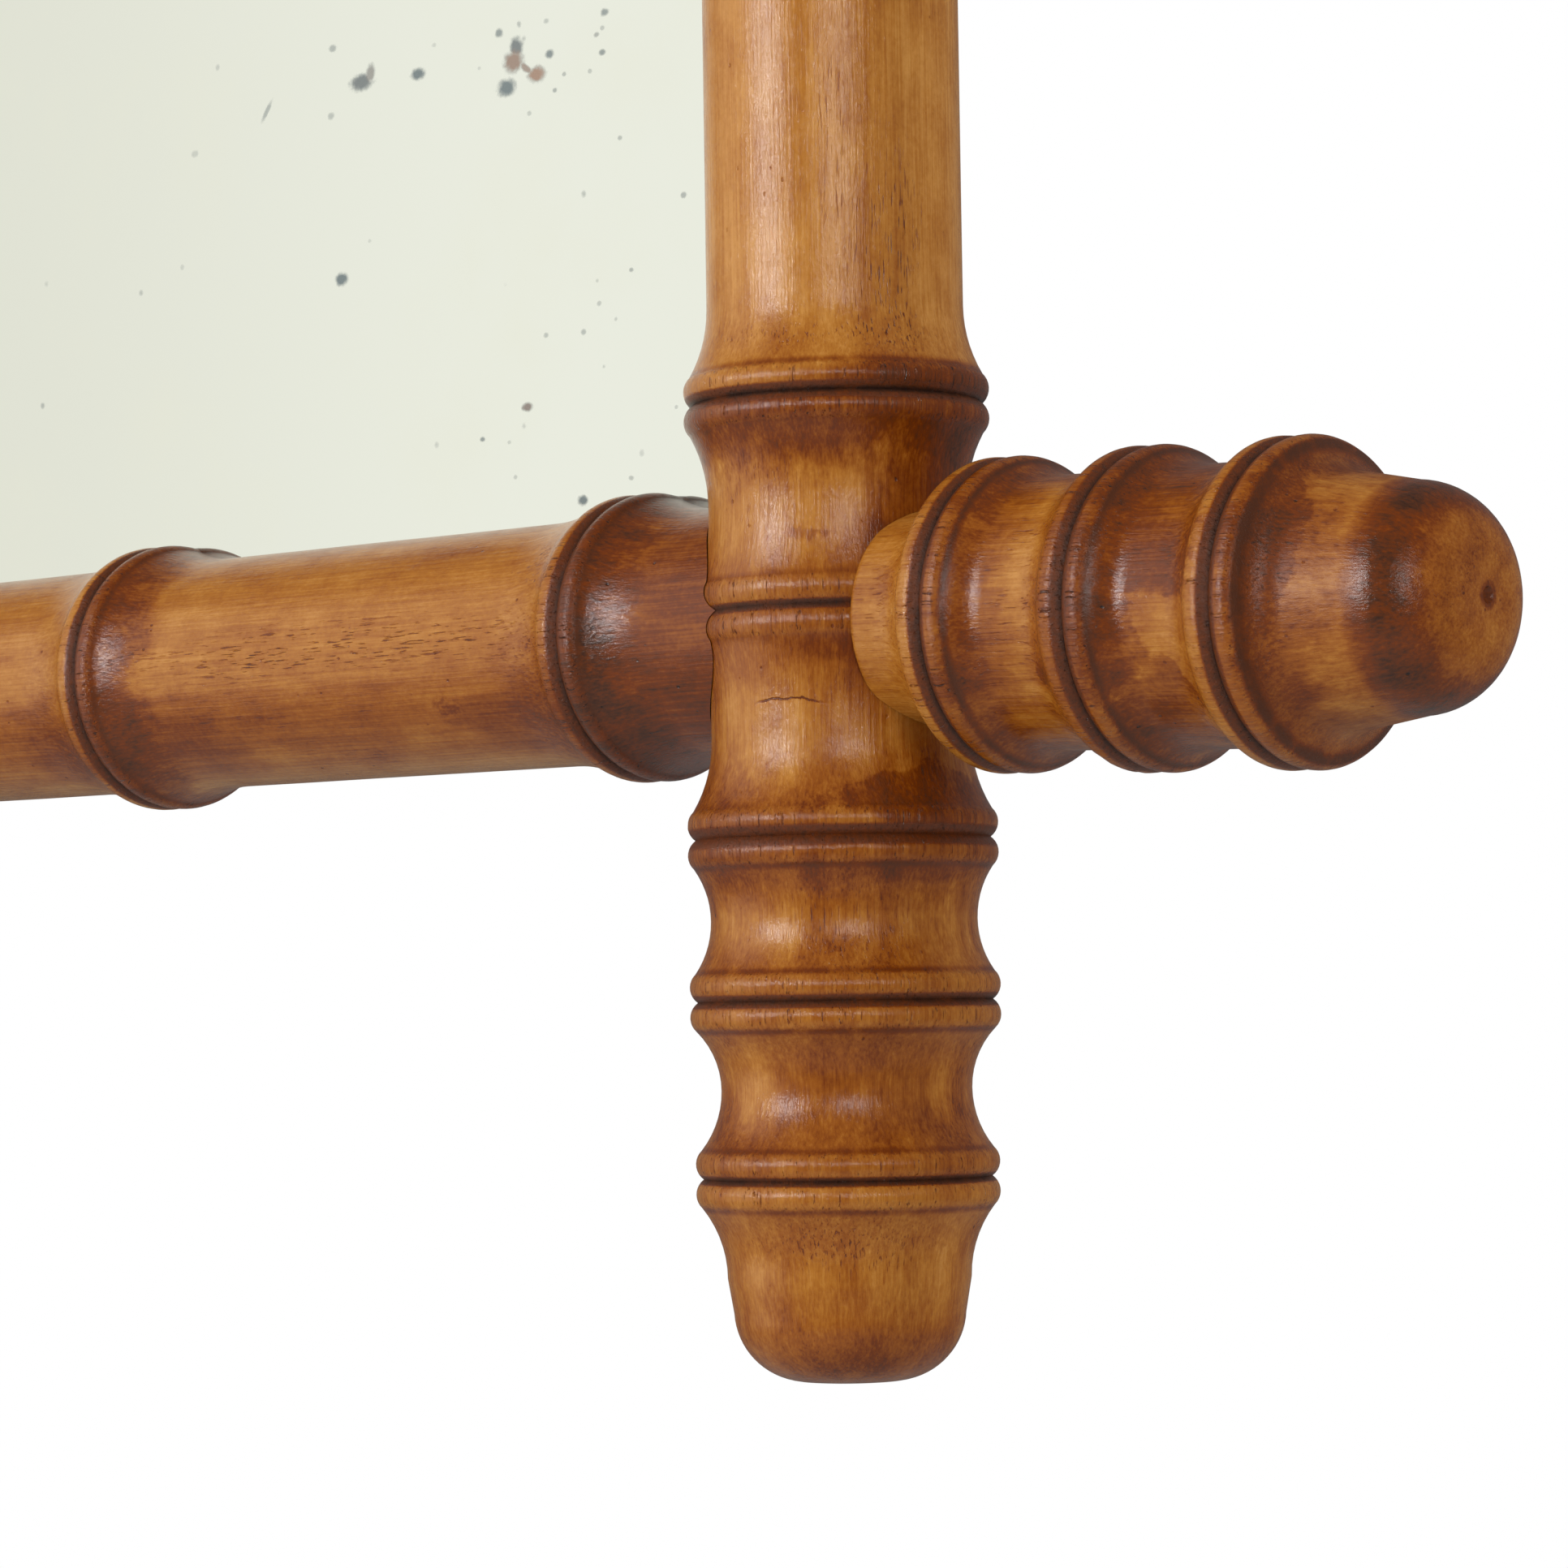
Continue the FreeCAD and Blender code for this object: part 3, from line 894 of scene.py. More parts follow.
class LathePen:
    """Draws a half section with mesh operators, and spins it into a turned solid.

    The section lies in the XZ plane: X is the radius and Z the place along the axis.

    Attributes:
        BEAD_STEPS: Steps over one bead.
        FLARE_STEPS: Steps over a hollow sweep.
        SIDE_STEPS: Steps down the side of a turned end.
        ROUND_STEPS: Steps over its rounding.
        FLAT_STEPS: Steps across its flat.
        STRIDE: Length of a step along a plain stretch.
        MERGE: Distance in metres at which doubled points become one.
    """

    BEAD_STEPS = 9
    FLARE_STEPS = 7
    SIDE_STEPS = 4
    ROUND_STEPS = 18
    FLAT_STEPS = 3
    STRIDE = 4
    MERGE = 1e-6

    def __init__(self, start: Point, flare_run: float) -> None:
        """Puts the pen down.

        Args:
            start: Place along the axis and radius.
            flare_run: Length of the hollow sweep beside a ring.
        """
        self.flare_run = flare_run
        self.mesh = bmesh.new()
        made = bmesh.ops.create_vert(self.mesh, co=self.spot(start))
        self.tip = made["vert"][0]

    @staticmethod
    def spot(point: Point) -> Vector:
        """A section point as a scene point."""
        return Vector((point[1] * MM, 0, point[0] * MM))

    def at(self) -> Point:
        """The pen's place along the axis and its radius."""
        return (self.tip.co.z / MM, self.tip.co.x / MM)

    def line(self, end: Point, steps: int = 1) -> None:
        """Draws a straight line.

        Args:
            end: Where the line ends.
            steps: Number of equal steps.
        """
        stride = (self.spot(end) - self.tip.co) / steps
        for _ in range(steps):
            made = bmesh.ops.extrude_vert_indiv(self.mesh, verts=[self.tip])
            self.tip = made["verts"][0]
            self.tip.co += stride

    def arc(self, centre: Point, end: Point, steps: int) -> None:
        """Draws an arc, the short way round.

        Args:
            centre: Centre of the arc.
            end: Where the arc ends.
            steps: Number of equal steps.
        """
        start = self.at()
        first = math.atan2(start[1] - centre[1], start[0] - centre[0])
        last = math.atan2(end[1] - centre[1], end[0] - centre[0])
        turn = (last - first + math.pi) % (2 * math.pi) - math.pi
        made = bmesh.ops.spin(
            self.mesh, geom=[self.tip], cent=self.spot(centre), axis=(0, 1, 0), angle=turn, steps=steps
        )
        self.tip = next(item for item in made["geom_last"] if isinstance(item, bmesh.types.BMVert))

    def flare(self, end: Point) -> None:
        """Draws the hollow sweep between a ring's edge and a waist, level at the waist.

        Args:
            end: Where the sweep ends.
        """
        start = self.at()
        edge, foot = (start, end) if start[1] > end[1] else (end, start)
        run, rise = foot[0] - edge[0], edge[1] - foot[1]
        radius = (run * run + rise * rise) / (2 * rise)
        self.arc((foot[0], foot[1] + radius), end, self.FLARE_STEPS)

    def ring(self, ring: Ring) -> None:
        """Draws a ring upwards from its lower edge.

        Args:
            ring: The ring to draw.
        """
        for side, end in ((-1, (ring.centre, ring.crest - ring.depth)), (1, ring.high)):
            centre = (ring.centre + side * ring.bead / 2, ring.crest - ring.bead_radius)
            self.arc(centre, end, self.BEAD_STEPS)

    def waist(self, high: Point, radius: float) -> None:
        """Draws from a ring's edge over a waist to the next ring.

        Args:
            high: Lower edge of the next ring.
            radius: Radius of the waist.
        """
        low = self.at()
        half = (high[0] - low[0]) / 2
        run = min(self.flare_run, half)
        self.flare((low[0] + run, radius))
        if run < half:
            length = 2 * (half - run)
            self.line((high[0] - run, radius), max(1, round(length / self.STRIDE)))
        self.flare(high)

    def bamboo(self, rings: Sequence[Ring], waists: Sequence[float]) -> None:
        """Draws rings upwards from the lowest one's lower edge, with waists between them.

        Args:
            rings: The rings in order.
            waists: Radius of the waist above each ring but the last.
        """
        for ring, following, waist in zip(rings, rings[1:], waists):
            self.ring(ring)
            self.waist(following.low, waist)
        self.ring(rings[-1])

    def nose(self, nose: Nose, ring: Ring, outward: int) -> None:
        """Draws a turned end from its ring's outer edge to the axis.

        Args:
            nose: Sizes of the end.
            ring: The last ring.
            outward: 1 upwards, -1 downwards.
        """
        edge = self.at()
        end = ring.centre + outward * nose.length
        shoulder = (end - outward * nose.rounding, nose.shoulder)
        share = math.sqrt(0.5)
        middle = (shoulder[0] + outward * nose.rounding * share, nose.flat + (nose.shoulder - nose.flat) * share)
        self.flare((edge[0] + outward * self.flare_run, nose.root))
        self.line(shoulder, self.SIDE_STEPS)
        self.arc(circle_centre(shoulder, middle, (end, nose.flat)), (end, nose.flat), self.ROUND_STEPS)
        self.line((end, nose.mark), self.FLAT_STEPS)
        self.line((end - outward * nose.mark_depth, 0))

    def spun(self, segments: int) -> bmesh.types.BMesh:
        """Spins the drawn section about the axis.

        Args:
            segments: Number of steps round.

        Returns:
            The closed mesh.
        """
        everything = [*self.mesh.verts, *self.mesh.edges]
        bmesh.ops.spin(
            self.mesh, geom=everything, cent=(0, 0, 0), axis=(0, 0, 1), angle=2 * math.pi,
            steps=segments, use_merge=True,
        )
        bmesh.ops.remove_doubles(self.mesh, verts=self.mesh.verts, dist=self.MERGE)
        bmesh.ops.recalc_face_normals(self.mesh, faces=self.mesh.faces)
        return self.mesh


def circle_centre(first: Point, second: Point, third: Point) -> Point:
    """Finds a circle's centre.

    Args:
        first: A point on the circle.
        second: Another point.
        third: A third point.

    Returns:
        The centre.
    """
    (ax, ay), (bx, by), (cx, cy) = first, second, third
    twice = 2 * (ax * (by - cy) + bx * (cy - ay) + cx * (ay - by))
    a, b, c = ax * ax + ay * ay, bx * bx + by * by, cx * cx + cy * cy
    return (
        (a * (by - cy) + b * (cy - ay) + c * (ay - by)) / twice,
        (a * (cx - bx) + b * (ax - cx) + c * (bx - ax)) / twice,
    )


def turn_between(start: float, around: np.ndarray) -> np.ndarray:
    """The shorter turns from one direction to others, in degrees."""
    return (around - start + 180) % 360 - 180


@dataclass(frozen=True)
class Blot:
    """A patch on a pole: of stain, of painted light and shade, or of open pores.

    Attributes:
        mark: What it does to the wood.
        along: Place along the pole's axis.
        around: Direction round the axis in degrees, 0 at local +X and 90 at local +Y.
        long: Half length along the axis.
        wide: Half width round the axis, in degrees.
        depth: How strong it is; below zero for a paler patch, such as rubbed wood and painted light.
        edge: Where it ends, as a share of its half sizes.
        soft: Share over which it fades out.
    """

    mark: Mark
    along: float
    around: float
    long: float
    wide: float
    depth: float
    edge: float = 1.4
    soft: float = 0.9

    def turned(self, degrees: float) -> "Blot":
        """The same blot farther round the axis."""
        return replace(self, around=self.around + degrees)

    def mirrored(self, middle: float, degrees: float) -> "Blot":
        """The same blot mirrored about a place along the axis, and farther round it."""
        return replace(self, along=2 * middle - self.along, around=self.around + degrees)

    def strength(self, along: np.ndarray, around: np.ndarray) -> np.ndarray:
        """How strong the blot is at some places.

        Args:
            along: Places along the axis.
            around: Directions round the axis, in degrees.

        Returns:
            The strength at each place.
        """
        far = np.hypot((along - self.along) / self.long, turn_between(self.around, around) / self.wide)
        return self.depth * np.clip((self.edge - far) / self.soft, 0, 1)


@dataclass(frozen=True)
class Crack:
    """A hairline crack across a pole.

    Attributes:
        along: Place along the pole's axis.
        around: Direction of its middle round the axis, in degrees.
        wide: Half width round the axis, in degrees.
        bow: How far its middle lies above its ends.
    """

    along: float
    around: float
    wide: float
    bow: float


@dataclass(frozen=True)
class Wear:
    """How a turned surface is worn inwards.

    Attributes:
        wave: Depth of the waves that hand turning leaves.
        wave_scale: Frequency of the waves, per millimetre.
        nick: Depth of the nicks in plain wood.
        bead_nick: Depth of the nicks on a bead.
        nick_scale: Frequency of the nicks, per millimetre.
        nick_level: Noise level above which there is a nick.
        core: Radius within which nothing is worn.
    """

    wave: float = 0.06
    wave_scale: float = 0.05
    nick: float = 0.08
    bead_nick: float = 0.5
    nick_scale: float = 0.45
    nick_level: float = 0.42
    core: float = 2.0


@dataclass
class TurnedPole:
    """A turned wooden piece that imitates bamboo.

    Attributes:
        node: The CAD node that the piece stands for.
        place: Matrix from the pole's own axes, with Z along it, to the row frame.
        seed: Shift of the wood's pattern, so that no two poles look alike.
        segments: Steps round the axis.
        tones: Places along the axis, each with how much darker the wood is there.
        blots: Patches of stain, painted light and shade, and pores.
        crack: A hairline crack.
        eye: Radius of the dark centre mark on a turned end.
        eye_tone: How much darker that mark is.
        rings: The bamboo joints along the axis.
        wear: How the surface is worn.
        sharp: Angle in degrees from which an edge is shaded sharp.
    """

    node: str
    place: Matrix
    seed: float
    segments: int = 128
    tones: Sequence[Point] = ((0, 0),)
    blots: Sequence[Blot] = ()
    crack: Optional[Crack] = None
    eye: float = 1.2
    eye_tone: float = 0.7
    rings: list[Ring] = field(default_factory=list)
    wear: Wear = Wear()
    sharp: float = 38

    def section(self) -> LathePen:
        """Draws the half section."""
        raise NotImplementedError

    def cutters(self) -> list[bpy.types.Object]:
        """Objects to cut away from the turned solid."""
        return []

    def extras(self, mesh: bmesh.types.BMesh) -> None:
        """Adds further shells to the finished mesh."""

    def build(self, material: bpy.types.Material) -> bpy.types.Object:
        """Makes the piece, in place.

        Args:
            material: The finish of the pole.

        Returns:
            The new object.
        """
        mesh = self.section().spun(self.segments)
        self.weather(mesh)
        mesh.transform(self.place)
        planed(mesh)
        piece = new_object(self.node + "_turned", mesh)
        cut_away(piece, self.cutters())
        mesh = bmesh.new()
        mesh.from_mesh(piece.data)
        self.extras(mesh)
        mesh.to_mesh(piece.data)
        mesh.free()
        self.paint(piece.data)
        piece.data.materials.clear()
        piece.data.materials.append(material)
        piece.data.shade_smooth()
        piece.data.set_sharp_from_angle(angle=math.radians(self.sharp))
        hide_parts(self.node)
        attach(piece, Body.FRAME.value)
        log.info("%s: %d faces", piece.name, len(piece.data.polygons))
        return piece

    def weather(self, mesh: bmesh.types.BMesh) -> None:
        """Wears the turned surface inwards a little: hand-turned waves and small nicks on the beads.

        Args:
            mesh: The turned solid, on its own axis.
        """
        wear = self.wear
        shift = Vector((self.seed, 2 * self.seed, 0))
        beads = [(ring.centre - ring.reach, ring.centre + ring.reach) for ring in self.rings]
        for vert in mesh.verts:
            out = Vector((vert.co.x, vert.co.y, 0))
            if out.length < wear.core * MM:
                continue
            spot = vert.co / MM
            wave = 0.5 + 0.5 * noise.noise(spot * wear.wave_scale + shift)
            nick = max(0.0, noise.noise(spot * wear.nick_scale + shift) - wear.nick_level)
            bead = any(low < spot.z < high for low, high in beads)
            depth = wear.wave * wave + (wear.bead_nick if bead else wear.nick) * nick
            vert.co -= out.normalized() * depth * MM

    def paint(self, mesh: bpy.types.Mesh) -> None:
        """Stores what the finish reads: place in the pole's own axes, rings nearby, and stain with painted light and
        shade.

        Args:
            mesh: The finished mesh, in place.
        """
        spots = np.empty(len(mesh.vertices) * 3)
        mesh.vertices.foreach_get("co", spots)
        back = np.array(self.place.inverted())
        own = (spots.reshape(-1, 3) @ back[:3, :3].T + back[:3, 3]) / MM
        along = own[:, 2]
        around = np.degrees(np.arctan2(own[:, 1], own[:, 0]))

        centres = np.array([ring.centre for ring in self.rings])
        reaches = np.array([ring.reach for ring in self.rings])
        offsets = (along[:, None] - centres) / reaches
        nearest = np.abs(offsets).argmin(axis=1)
        offset = offsets[np.arange(len(along)), nearest]
        looks = np.array([
            [
                (ring.look.groove, ring.look.score_low, ring.look.flare_low),
                (ring.look.groove, ring.look.score_high, ring.look.flare_high),
            ]
            for ring in self.rings
        ])
        marks = np.zeros((len(own), len(Mark)))
        marks[:, Mark.TONE.value] = np.interp(along, *zip(*self.tones))
        marks[np.hypot(own[:, 0], own[:, 1]) < self.eye, Mark.TONE.value] += self.eye_tone
        for blot in self.blots:
            marks[:, blot.mark.value] += blot.strength(along, around)
        damage = np.full_like(own, NO_CRACK)
        damage[:, 2] = marks[:, Mark.DULL.value]
        if self.crack:
            turn = turn_between(self.crack.around, around) / self.crack.wide
            damage[:, 0] = along - self.crack.along - self.crack.bow * (1 - turn * turn)
            damage[:, 1] = np.abs(turn)
        lines = np.array([(ring.look.seam, ring.look.wear) for ring in self.rings])[nearest]
        shift = self.seed * np.array(SEED_SHIFT)
        vectors = {
            "turn_place": own + shift,
            "ring_place": np.column_stack((np.minimum(np.abs(offset), FAR_FROM_RINGS), lines)),
            "ring_look": looks[nearest, (offset > 0).astype(int)],
            # The tone stored as stain holds painted light and shade as well as stain
            "stain": marks[:, :3],
            "damage": damage,
        }
        for name, values in vectors.items():
            mesh.attributes.new(name, "FLOAT_VECTOR", "POINT").data.foreach_set("vector", values.ravel())


@dataclass
class Stile(TurnedPole):
    """An upright pole with a finial at each end.

    Attributes:
        shaft: Radius of the lengths between the rails.
        crossing: Radius where the rails and horns meet the stile.
        flare_run: Length of the hollow sweep beside a ring.
        ring_crest: Radius at the crests of the rings between the rails.
        shaft_count: Number of lengths between the corner rings.
        corner_ring: Distance of the corner ring from the rail's axis.
        corner_look: Stain round a corner ring.
        shaft_look: Stain round the rings between.
        middle_ring: The ring at the crossing.
        finial_rings: The rings of the lower finial, from its end.
        finial_waists: Radii of the waists between them.
        nose: The turned end.
        end_tones: Tones of the lower end and the length above it.
        end_blots: Blots of the lower end, which the upper end repeats.
        turn: Turn of the blots round the axis, in degrees.
        top_turn: Farther turn of the upper end's blots.
        waists: Radius of the waist above each ring but the last.
    """

    shaft: float = 17.55
    crossing: float = 17.7
    flare_run: float = 9.6
    ring_crest: float = 20.9
    shaft_count: int = 6
    corner_ring: float = 29.6
    corner_look: RingLook = RingLook(0.28, 1.0, 0.4, 0.05, 0.55, 0.65, 0.08)
    shaft_look: RingLook = RingLook(0.26, 0.6, 0.7, 0.4, 0.4, 0.45, 0.25)
    middle_ring: Ring = Ring(1.3, 19.2, RingLook(0.16, 0.75, 0.5, 0.15, 0.35, 0.3, 0.15), 4.6, 0.8, 0.45)
    finial_rings: tuple[Ring, ...] = (
        Ring(-75.4, 20.65, RingLook(0.15, 0.85, 0.7, 0.6, 0.5, 0.12, 0.25)),
        Ring(-51.5, 21.15, RingLook(0.22, 0.6, 0.7, 0.65, 0.6, 0.14, 0.2)),
        Ring(-29.5, 21.15, RingLook(0.34, 0.12, 0.6, 0.75, 0.15, 0.4, 0.3)),
    )
    finial_waists: tuple[float, ...] = (17.05, 18.15)
    nose: Nose = Nose(27.4, 16.55, 15.75, 9.2, 5.6)
    end_tones: tuple[Point, ...] = (
        (-103, 0.5), (-98, 0.36), (-88, 0.16), (-75, 0.2), (-62, 0.24), (-51, 0.2), (-40, 0.14), (-29, 0.22),
        (-15, 0.1), (0, 0.2), (5, 0.24), (9, 0.14), (14, 0.12), (30, 0.14), (36, 0.02), (60, -0.02),
    )
    end_blots: tuple[Blot, ...] = (
        Blot(Mark.TONE, 31.2, 4, 2.2, 52, 1.2),
        Blot(Mark.TONE, 21, 8, 8, 38, 0.42),
        Blot(Mark.TONE, 9.5, -28, 5, 15, 0.45),
        Blot(Mark.TONE, 14, 0, 9, 24, 0.4),
        Blot(Mark.PATCH, 10.6, -62, 1.4, 16, 0.75),
        # Painted shade and stain: a darker band along the lower edge of the horn's foot, where the horn shades the
        # stile
        Blot(Mark.TONE, -9, -38, 7, 7, 0.3),
        Blot(Mark.TONE, -4.8, -52, 1.6, 24, 0.3),
        Blot(Mark.PATCH, -24.8, -4, 3.6, 56, 1.2),
        Blot(Mark.TONE, -35, -60, 2.4, 6, 0.25),
        Blot(Mark.TONE, -34.4, -20, 1.4, 30, 0.25),
        Blot(Mark.PATCH, -45, -62, 3, 26, 0.3),
        Blot(Mark.TONE, -62, -42, 6, 32, 0.2),
        Blot(Mark.TONE, -62, -95, 7, 16, -0.2),
        # Painted shade: the lower finial's end darker, as if shaded from the light above; the upper end repeats it
        Blot(Mark.TONE, -98, -30, 3, 60, 0.2),
        # Painted light and shade: long bands down the upper shaft, darker across its middle and paler at both sides,
        # as the light falls across the stile
        Blot(Mark.TONE, 65, -29, 35, 13, 0.12),
        Blot(Mark.TONE, 65, -63, 35, 9, 0.1),
        Blot(Mark.TONE, 65, -114, 35, 14, -0.06),
        Blot(Mark.TONE, 65, 10, 35, 22, -0.08),
        Blot(Mark.PORES, 48, -27, 15, 19, 1.1),
        Blot(Mark.PORES, 64, -50, 14, 8, 0.8),
        Blot(Mark.PORES, 37.4, -50, 1.5, 70, 0.8),
        Blot(Mark.PORES, 17, -85, 4, 28, 0.7),
        Blot(Mark.PORES, -84, -50, 4, 40, 0.9),
        Blot(Mark.PORES, -40, -48, 6, 40, 0.5),
    )
    turn: float = 0.0
    top_turn: float = 130
    waists: list[float] = field(default_factory=list)

    def __post_init__(self) -> None:
        """Works out all rings from the bottom up, the waists between them, and the stain."""
        middle = LAYOUT.rail_span / 2
        pitch = (LAYOUT.rail_span - 2 * self.corner_ring) / self.shaft_count
        corner = Ring(self.corner_ring, self.ring_crest, self.corner_look)
        lower = [*self.finial_rings, self.middle_ring, corner]
        shafts = [
            Ring(self.corner_ring + pitch * step, self.ring_crest, self.shaft_look)
            for step in range(1, self.shaft_count)
        ]
        self.rings = lower + shafts + [ring.mirrored(middle) for ring in reversed(lower)]
        ends = [*self.finial_waists, self.crossing, self.crossing]
        self.waists = ends + [self.shaft] * self.shaft_count + list(reversed(ends))
        self.tones = [*self.end_tones, *((2 * middle - along, tone) for along, tone in reversed(self.end_tones))]
        lower_blots = [blot.turned(self.turn) for blot in self.end_blots]
        self.blots = lower_blots + [blot.mirrored(middle, self.turn + self.top_turn) for blot in self.end_blots]

    def section(self) -> LathePen:
        """Draws the half section.

        Returns:
            The pen with the finished section.
        """
        pen = LathePen(self.rings[0].low, self.flare_run)
        start = pen.tip
        pen.nose(self.nose, self.rings[0], -1)
        pen.tip = start
        pen.bamboo(self.rings, self.waists)
        pen.nose(self.nose, self.rings[-1], 1)
        return pen

    def cutters(self) -> list[bpy.types.Object]:
        """The glazing rabbet."""
        return [rabbet_block()]


@dataclass
class Rail(TurnedPole):
    """A level pole between the stiles, scribed to them and tenoned into them.

    Attributes:
        shaft: Radius of the lengths.
        neck: Radius of the necks beside the stiles.
        flare_run: Length of the hollow sweep beside a ring.
        ring_crest: Radius at the rings' crests.
        ring_look: Stain round the rings.
        shaft_count: Number of lengths.
        end_ring: Distance of an end ring from the stile's axis.
        neck_steps: Steps along a neck.
        tenon_radius: Radius of the round tenons.
        tenon_tip: Distance of a tenon's tip from the stile's axis.
        tenon_segments: Steps round a tenon.
        level: Which rail.
    """

    shaft: float = 17.45
    neck: float = 17.15
    flare_run: float = 12.0
    ring_crest: float = 20.35
    ring_look: RingLook = RingLook(0.34, 0.6, 0.5, 0.12, 0.6, 0.06, 0.7)
    shaft_count: int = 4
    end_ring: float = 35.2
    neck_steps: int = 6
    tenon_radius: float = 8.0
    tenon_tip: float = 3.7
    tenon_segments: int = 32
    level: Level = Level.BOTTOM
    tones: Sequence[Point] = ((-225, 0.7), (-207, 0.3), (-195, 0.14), (200, 0.14), (207, 0.6), (225, 0.7))
    blots: Sequence[Blot] = (
        Blot(Mark.PORES, 160, -93, 44, 12, 1.3),
        Blot(Mark.PORES, 198, -125, 4, 9, 1.0),
        Blot(Mark.PORES, -60, -100, 44, 14, 1.2),
        Blot(Mark.TONE, 192, -48, 12, 22, 0.3),
        Blot(Mark.TONE, 120, -40, 12, 24, 0.3),
        Blot(Mark.TONE, 92, -50, 7, 24, 0.3),
        Blot(Mark.TONE, 0, -52, 400, 24, 0.3),
        # Painted light: the rail's top paler, as lit from above, and a paler band along its underside for light
        # thrown up from below
        Blot(Mark.TONE, 0, -150, 400, 26, -0.05),
        Blot(Mark.TONE, 0, -10, 400, 22, -0.15),
        Blot(Mark.TONE, -40, -60, 25, 30, 0.25),
        Blot(Mark.TONE, -140, -35, 30, 30, 0.25),
        Blot(Mark.PATCH, 178, -56, 5, 12, 0.6),
    )

    def __post_init__(self) -> None:
        """Works out the rings from left to right."""
        pitch = (2 * LAYOUT.stile_x - 2 * self.end_ring) / self.shaft_count
        first = self.end_ring - LAYOUT.stile_x
        self.rings = [
            Ring(first + pitch * step, self.ring_crest, self.ring_look) for step in range(self.shaft_count + 1)
        ]

    def section(self) -> LathePen:
        """Draws the half section.

        Returns:
            The pen with the finished section.
        """
        pen = LathePen(self.rings[0].low, self.flare_run)
        start = pen.tip
        self.draw_end(pen, -1)
        pen.tip = start
        pen.bamboo(self.rings, [self.shaft] * self.shaft_count)
        self.draw_end(pen, 1)
        return pen

    def draw_end(self, pen: LathePen, outward: int) -> None:
        """Draws a neck from the last ring to the stile's axis, where it is scribed later.

        Args:
            pen: The pen, at the ring's outer edge.
            outward: 1 to the right, -1 to the left.
        """
        pen.flare((pen.at()[0] + outward * pen.flare_run, self.neck))
        pen.line((outward * LAYOUT.stile_x, self.neck), self.neck_steps)
        pen.line((outward * LAYOUT.stile_x, 0))

    def cutters(self) -> list[bpy.types.Object]:
        """The glazing rabbet and both stiles."""
        return [rabbet_block(), *(crossing_block(side, self.level) for side in Side)]

    def extras(self, mesh: bmesh.types.BMesh) -> None:
        """Adds the round tenons, hidden in the stiles.

        Args:
            mesh: The cut rail, in place.
        """
        for side in Side:
            root = LAYOUT.stile_x - self.end_ring
            tip = LAYOUT.stile_x - self.tenon_tip
            middle = Vector((side.value * (root + tip) / 2, LAYOUT.axis_y, self.place.translation.z / MM)) * MM
            bmesh.ops.create_cone(
                mesh, cap_ends=True, segments=self.tenon_segments, depth=(tip - root) * MM,
                radius1=self.tenon_radius * MM, radius2=self.tenon_radius * MM,
                matrix=Matrix.Translation(middle) @ Matrix.Rotation(math.pi / 2, 4, "Y"),
            )


